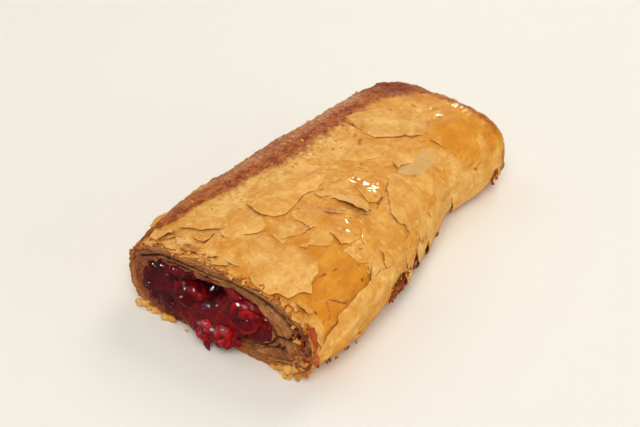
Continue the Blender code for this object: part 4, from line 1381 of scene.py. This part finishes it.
def crust_material():
    """Baked pastry: golden and glazed, paler where it is a dry torn sheet, red-brown where it caught."""
    n = Nodes("baked_crust")
    broad, middle, fine = n.noise(9.0), n.noise(2.6), n.noise(0.6, 4.0)
    streaks = n.noise(5.0, 3.0, 0.6, (1.0, 0.16, 1.0))
    golden = n.mix(n.step(broad, 0.35, 0.68), linear(208, 128, 24), linear(222, 152, 44))
    golden = n.mix(n.step(streaks, 0.5, 0.75, 0.0, 0.55), golden, linear(196, 108, 18))
    golden = n.patchy(golden, linear(196, 112, 30), (3.4, 5.0, 0.62), 0.50, 0.66, 0.55)
    pale = n.mix(n.step(broad, 0.3, 0.7), linear(222, 161, 76), linear(238, 188, 110))
    pale = n.mix(n.step(streaks, 0.52, 0.72, 0.0, 0.5), pale, linear(214, 146, 56))
    colour = n.mix(n.mask("pale"), golden, pale)
    colour = n.patchy(colour, linear(214, 134, 52), (5.5, 4.0, 0.6), 0.52, 0.66, 0.40)
    colour = n.patchy(colour, linear(204, 130, 40), (1.7, 5.0, 0.65), 0.51, 0.64, 0.40)
    flecks = n.step(n.noise(2.3, 5.0, 0.65), 0.53, 0.66, 0.0, 0.55)
    flecks = n.times(flecks, n.step(n.mask("pale"), 0.1, 0.6, 0.15, 1.0))
    colour = n.mix(flecks, colour, linear(244, 202, 122))
    colour = n.mix(n.times(n.mask("grey"), 0.8), colour, linear(206, 164, 104))
    lighter_brown, darker_brown = linear(188, 107, 51), linear(146, 67, 33)
    brown = n.mix(n.step(n.noise(3.2, 4.0, 0.65), 0.42, 0.58), lighter_brown, darker_brown)
    brown = n.patchy(brown, linear(112, 48, 30), (1.2, 4.0, 0.7), 0.50, 0.62, 0.75)
    # the brown mask also carries painted shade: in the dents and as a thin line under the sheets' edges
    browned = n.math("ADD", n.mask("brown"), n.times(n.less(middle, 0.5), 0.9))
    colour = n.mix(n.step(browned, 0.25, 0.75), colour, brown)
    dust = n.times(n.mask("grey"), n.step(n.noise(0.9, 4.0, 0.6), 0.38, 0.62, 0.15, 0.95))
    dust = n.times(dust, n.step(n.mask("brown"), 0.2, 0.6))
    colour = n.mix(dust, colour, linear(218, 168, 130))
    pores = n.times(n.step(n.spots(1.9), 0.16, 0.30, 1.0, 0.0), n.step(n.noise(5.0), 0.42, 0.56))
    pores = n.times(pores, n.mask("specks"), clamp=True)
    colour = n.mix(n.times(pores, 0.8), colour, linear(146, 80, 34))
    colour = n.mix(n.times(n.mask("stain"), 0.9), colour, linear(176, 50, 28))
    # dark: the deep brown far corner and flakes, with painted shade in the dents
    colour = n.mix(n.times(n.mask("dark"), 0.9, clamp=True), colour, linear(128, 52, 24))
    shine = n.step(n.mask("gloss"), 0.45, 0.65)
    shine = n.times(shine, n.less(1.0, n.times(n.mask("brown"), 0.8)), clamp=True)
    rough = n.less(0.62, n.times(shine, 0.55))
    rough = n.math("ADD", rough, n.step(middle, 0.3, 0.7, -0.05, 0.05), clamp=True)
    height = n.math("ADD", n.times(fine, 0.5), n.times(n.noise(0.25, 2.0), 0.2))
    height = n.less(height, n.times(pores, 0.8))
    height = n.times(height, n.less(1.0, n.times(shine, 0.85)))
    n.shade(
        Base_Color=colour,
        Roughness=rough,
        Specular_IOR_Level=n.math("ADD", 0.08, n.times(shine, 0.42)),
        Normal=n.bump(height, 0.65, 0.28),
    )
    return n.material


def cut_material():
    """The edges of the rolled sheets: tan dough, with painted shade between them, soaked purple-brown by the
    juice.
    """
    n = Nodes("cut_pastry")
    middle, fine = n.noise(1.8), n.noise(0.5, 4.0)
    dough = n.mix(n.step(middle, 0.35, 0.68), linear(146, 82, 38), linear(174, 102, 48))
    light = n.mix(n.step(middle, 0.35, 0.68), linear(184, 110, 52), linear(206, 146, 86))
    toast = n.mix(n.step(fine, 0.4, 0.65), linear(212, 138, 70), linear(178, 98, 44))
    soaked = n.mix(n.step(middle, 0.4, 0.62), linear(168, 84, 58), linear(104, 38, 32))
    colour = n.mix(n.mask("tone"), dough, light)
    colour = n.mix(n.mask("toast"), colour, toast)
    colour = n.mix(n.mask("soak"), colour, soaked)
    colour = n.mix(n.times(n.mask("red"), 0.8), colour, linear(120, 34, 20))
    # painted shade in the gaps between the layers
    colour = n.mix(n.times(n.mask("gap"), 0.95), colour, linear(52, 22, 12))
    n.shade(
        Base_Color=colour,
        Roughness=n.less(0.60, n.times(n.mask("soak"), 0.34)),
        Specular_IOR_Level=0.25,
        Normal=n.bump(n.math("ADD", fine, n.noise(0.22, 2.0)), 0.8, 0.35),
    )
    return n.material


def wet_material(name, dark, body, bright, inner_glow):
    """Jelly or cooked fruit: deep red, wet and slightly translucent."""
    n = Nodes(name)
    middle, fine = n.noise(2.4), n.noise(0.7)
    colour = n.mix(n.step(middle, 0.38, 0.64), body, bright)
    colour = n.mix(n.times(n.mask("red"), n.step(fine, 0.35, 0.65, 0.3, 1.0)), body, colour)
    height = n.math("ADD", n.times(fine, 0.3), n.times(n.noise(1.5, 1.0), 2.0))
    n.shade(
        # the dark colour follows the fruit's and jelly's own dark patches and the painted shade
        Base_Color=n.mix(n.mask("dark_and_shade"), colour, dark),
        Roughness=0.08,
        Specular_IOR_Level=0.32,
        Subsurface_Weight=inner_glow,
        Subsurface_Radius=(1.0, 0.12, 0.10),
        Subsurface_Scale=1.6 * MM,
        Normal=n.bump(height, 0.25, 0.45),
    )
    return n.material


# ---------------------------------------------------------------- the stage

CAMERA_AZIMUTH, CAMERA_ELEVATION = math.radians(34), math.radians(36)
CAMERA_AWAY = 546.27
CAMERA_ROUND = Vector((0, 0, 14.0))
CAMERA_AIM = Vector((-5.81, -5.55, 14.0))
FOCAL_PIXELS, PHOTO_WIDTH = 1300, 640
SENSOR = 36.0


def toward(azimuth, elevation):
    """The direction that a camera at this azimuth and elevation lies in."""
    flat = math.cos(elevation)
    return Vector((math.sin(azimuth) * flat, -math.cos(azimuth) * flat, math.sin(elevation)))


def make_camera():
    """The camera, at the photograph's angle."""
    data = bpy.data.cameras.new("camera")
    data.sensor_width = SENSOR
    data.lens = FOCAL_PIXELS / PHOTO_WIDTH * SENSOR
    data.clip_start, data.clip_end = 0.01, 20
    camera = bpy.data.objects.new("camera", data)
    place = CAMERA_ROUND + toward(CAMERA_AZIMUTH, CAMERA_ELEVATION) * CAMERA_AWAY
    camera.location = place * MM
    camera.rotation_euler = (CAMERA_AIM - place).to_track_quat("-Z", "Y").to_euler()
    bpy.context.scene.collection.objects.link(camera)
    bpy.context.scene.camera = camera


WARM, CREAM, COOL = (1.0, 0.985, 0.94), (1.0, 0.90, 0.66), (0.92, 0.98, 1.0)
# Soft lights, which aren't mirrored: azimuth and elevation (degrees), distance and size (m), watts
SOFT_LIGHTS = {
    "front": (34, 52, 2.2, 1.5, 35.2, WARM),
    "back": (184, 48, 1.2, 0.6, 3.8, WARM),
    "left": (-90, 45, 1.3, 0.9, 3.0, WARM),
    "right": (100, 10, 1.3, 0.9, 4.6, COOL),
}
# Small lights that are only seen mirrored in the glaze, the juice and the fruit
HIGHLIGHTS = {
    "glaze_highlight": (190, 44, 1.1, 0.09, 6.0, CREAM),
    "edge_highlight": (207, 14, 1.2, 0.32, 4.5, CREAM),
    "juice_highlight": (-34, 40, 0.9, 0.06, 6.0, WARM),
    "fruit_highlight": (30, 66, 0.9, 0.06, 5.5, WARM),
    "side_highlight": (78, 30, 0.9, 0.06, 5.0, WARM),
}
FLOOR_REACH = 6.0  # metres from the middle to each side of the floor
SKY, SKY_STRENGTH = (1.0, 0.98, 0.94, 1.0), 0.20


def make_light(name, row, mirrored):
    """A square light that faces the object: it is seen mirrored in it, or else lights it softly."""
    azimuth, elevation, away, size, watts, colour = row
    data = bpy.data.lights.new(name, "AREA")
    data.shape = "SQUARE"
    data.size = size
    data.energy = watts
    data.color = colour
    light = bpy.data.objects.new(name, data)
    direction = toward(math.radians(azimuth), math.radians(elevation))
    light.location = direction * away
    light.rotation_euler = (-direction).to_track_quat("-Z", "Y").to_euler()
    light.visible_diffuse = not mirrored
    light.visible_glossy = mirrored
    bpy.context.scene.collection.objects.link(light)


def make_stage():
    """A pale floor, soft studio light and a plain view of the colours."""
    n = Nodes("pale_floor")
    n.shade(Base_Color=linear(240, 236, 228), Roughness=0.8, Specular_IOR_Level=0.2)
    mesh = bpy.data.meshes.new("floor")
    corners = [(x * FLOOR_REACH, y * FLOOR_REACH, 0) for x, y in ((-1, -1), (1, -1), (1, 1), (-1, 1))]
    mesh.from_pydata(corners, [], [(0, 1, 2, 3)])
    mesh.materials.append(n.material)
    floor = bpy.data.objects.new("floor", mesh)
    bpy.context.scene.collection.objects.link(floor)
    floor.visible_glossy = False
    world = bpy.data.worlds.new("world")
    world.use_nodes = True
    background = world.node_tree.nodes["Background"]
    background.inputs["Color"].default_value = SKY
    background.inputs["Strength"].default_value = SKY_STRENGTH
    bpy.context.scene.world = world
    for name, row in SOFT_LIGHTS.items():
        make_light(name, row, mirrored=False)
    for name, row in HIGHLIGHTS.items():
        make_light(name, row, mirrored=True)
    bpy.context.scene.view_settings.view_transform = "Standard"


# ---------------------------------------------------------------- the object


def build():
    """Makes every piece of the strudel, and the stage."""
    make_camera()
    make_stage()
    skin = Skin()
    crust = crust_material()
    make_skin(skin, crust)
    make_sheets(skin, crust)
    make_chips(skin, crust)
    make_crumbs(skin, crust)
    make_cut(skin, cut_material())
    jelly = wet_material("jelly", linear(46, 8, 12), linear(108, 12, 18), linear(160, 30, 30), 0.12)
    fruit = wet_material("cooked_cherry", linear(78, 3, 8), linear(162, 10, 14), linear(212, 38, 34), 0.06)
    make_filling(jelly)
    for cherry in CHERRIES:
        make_cherry(*cherry, fruit)


build()
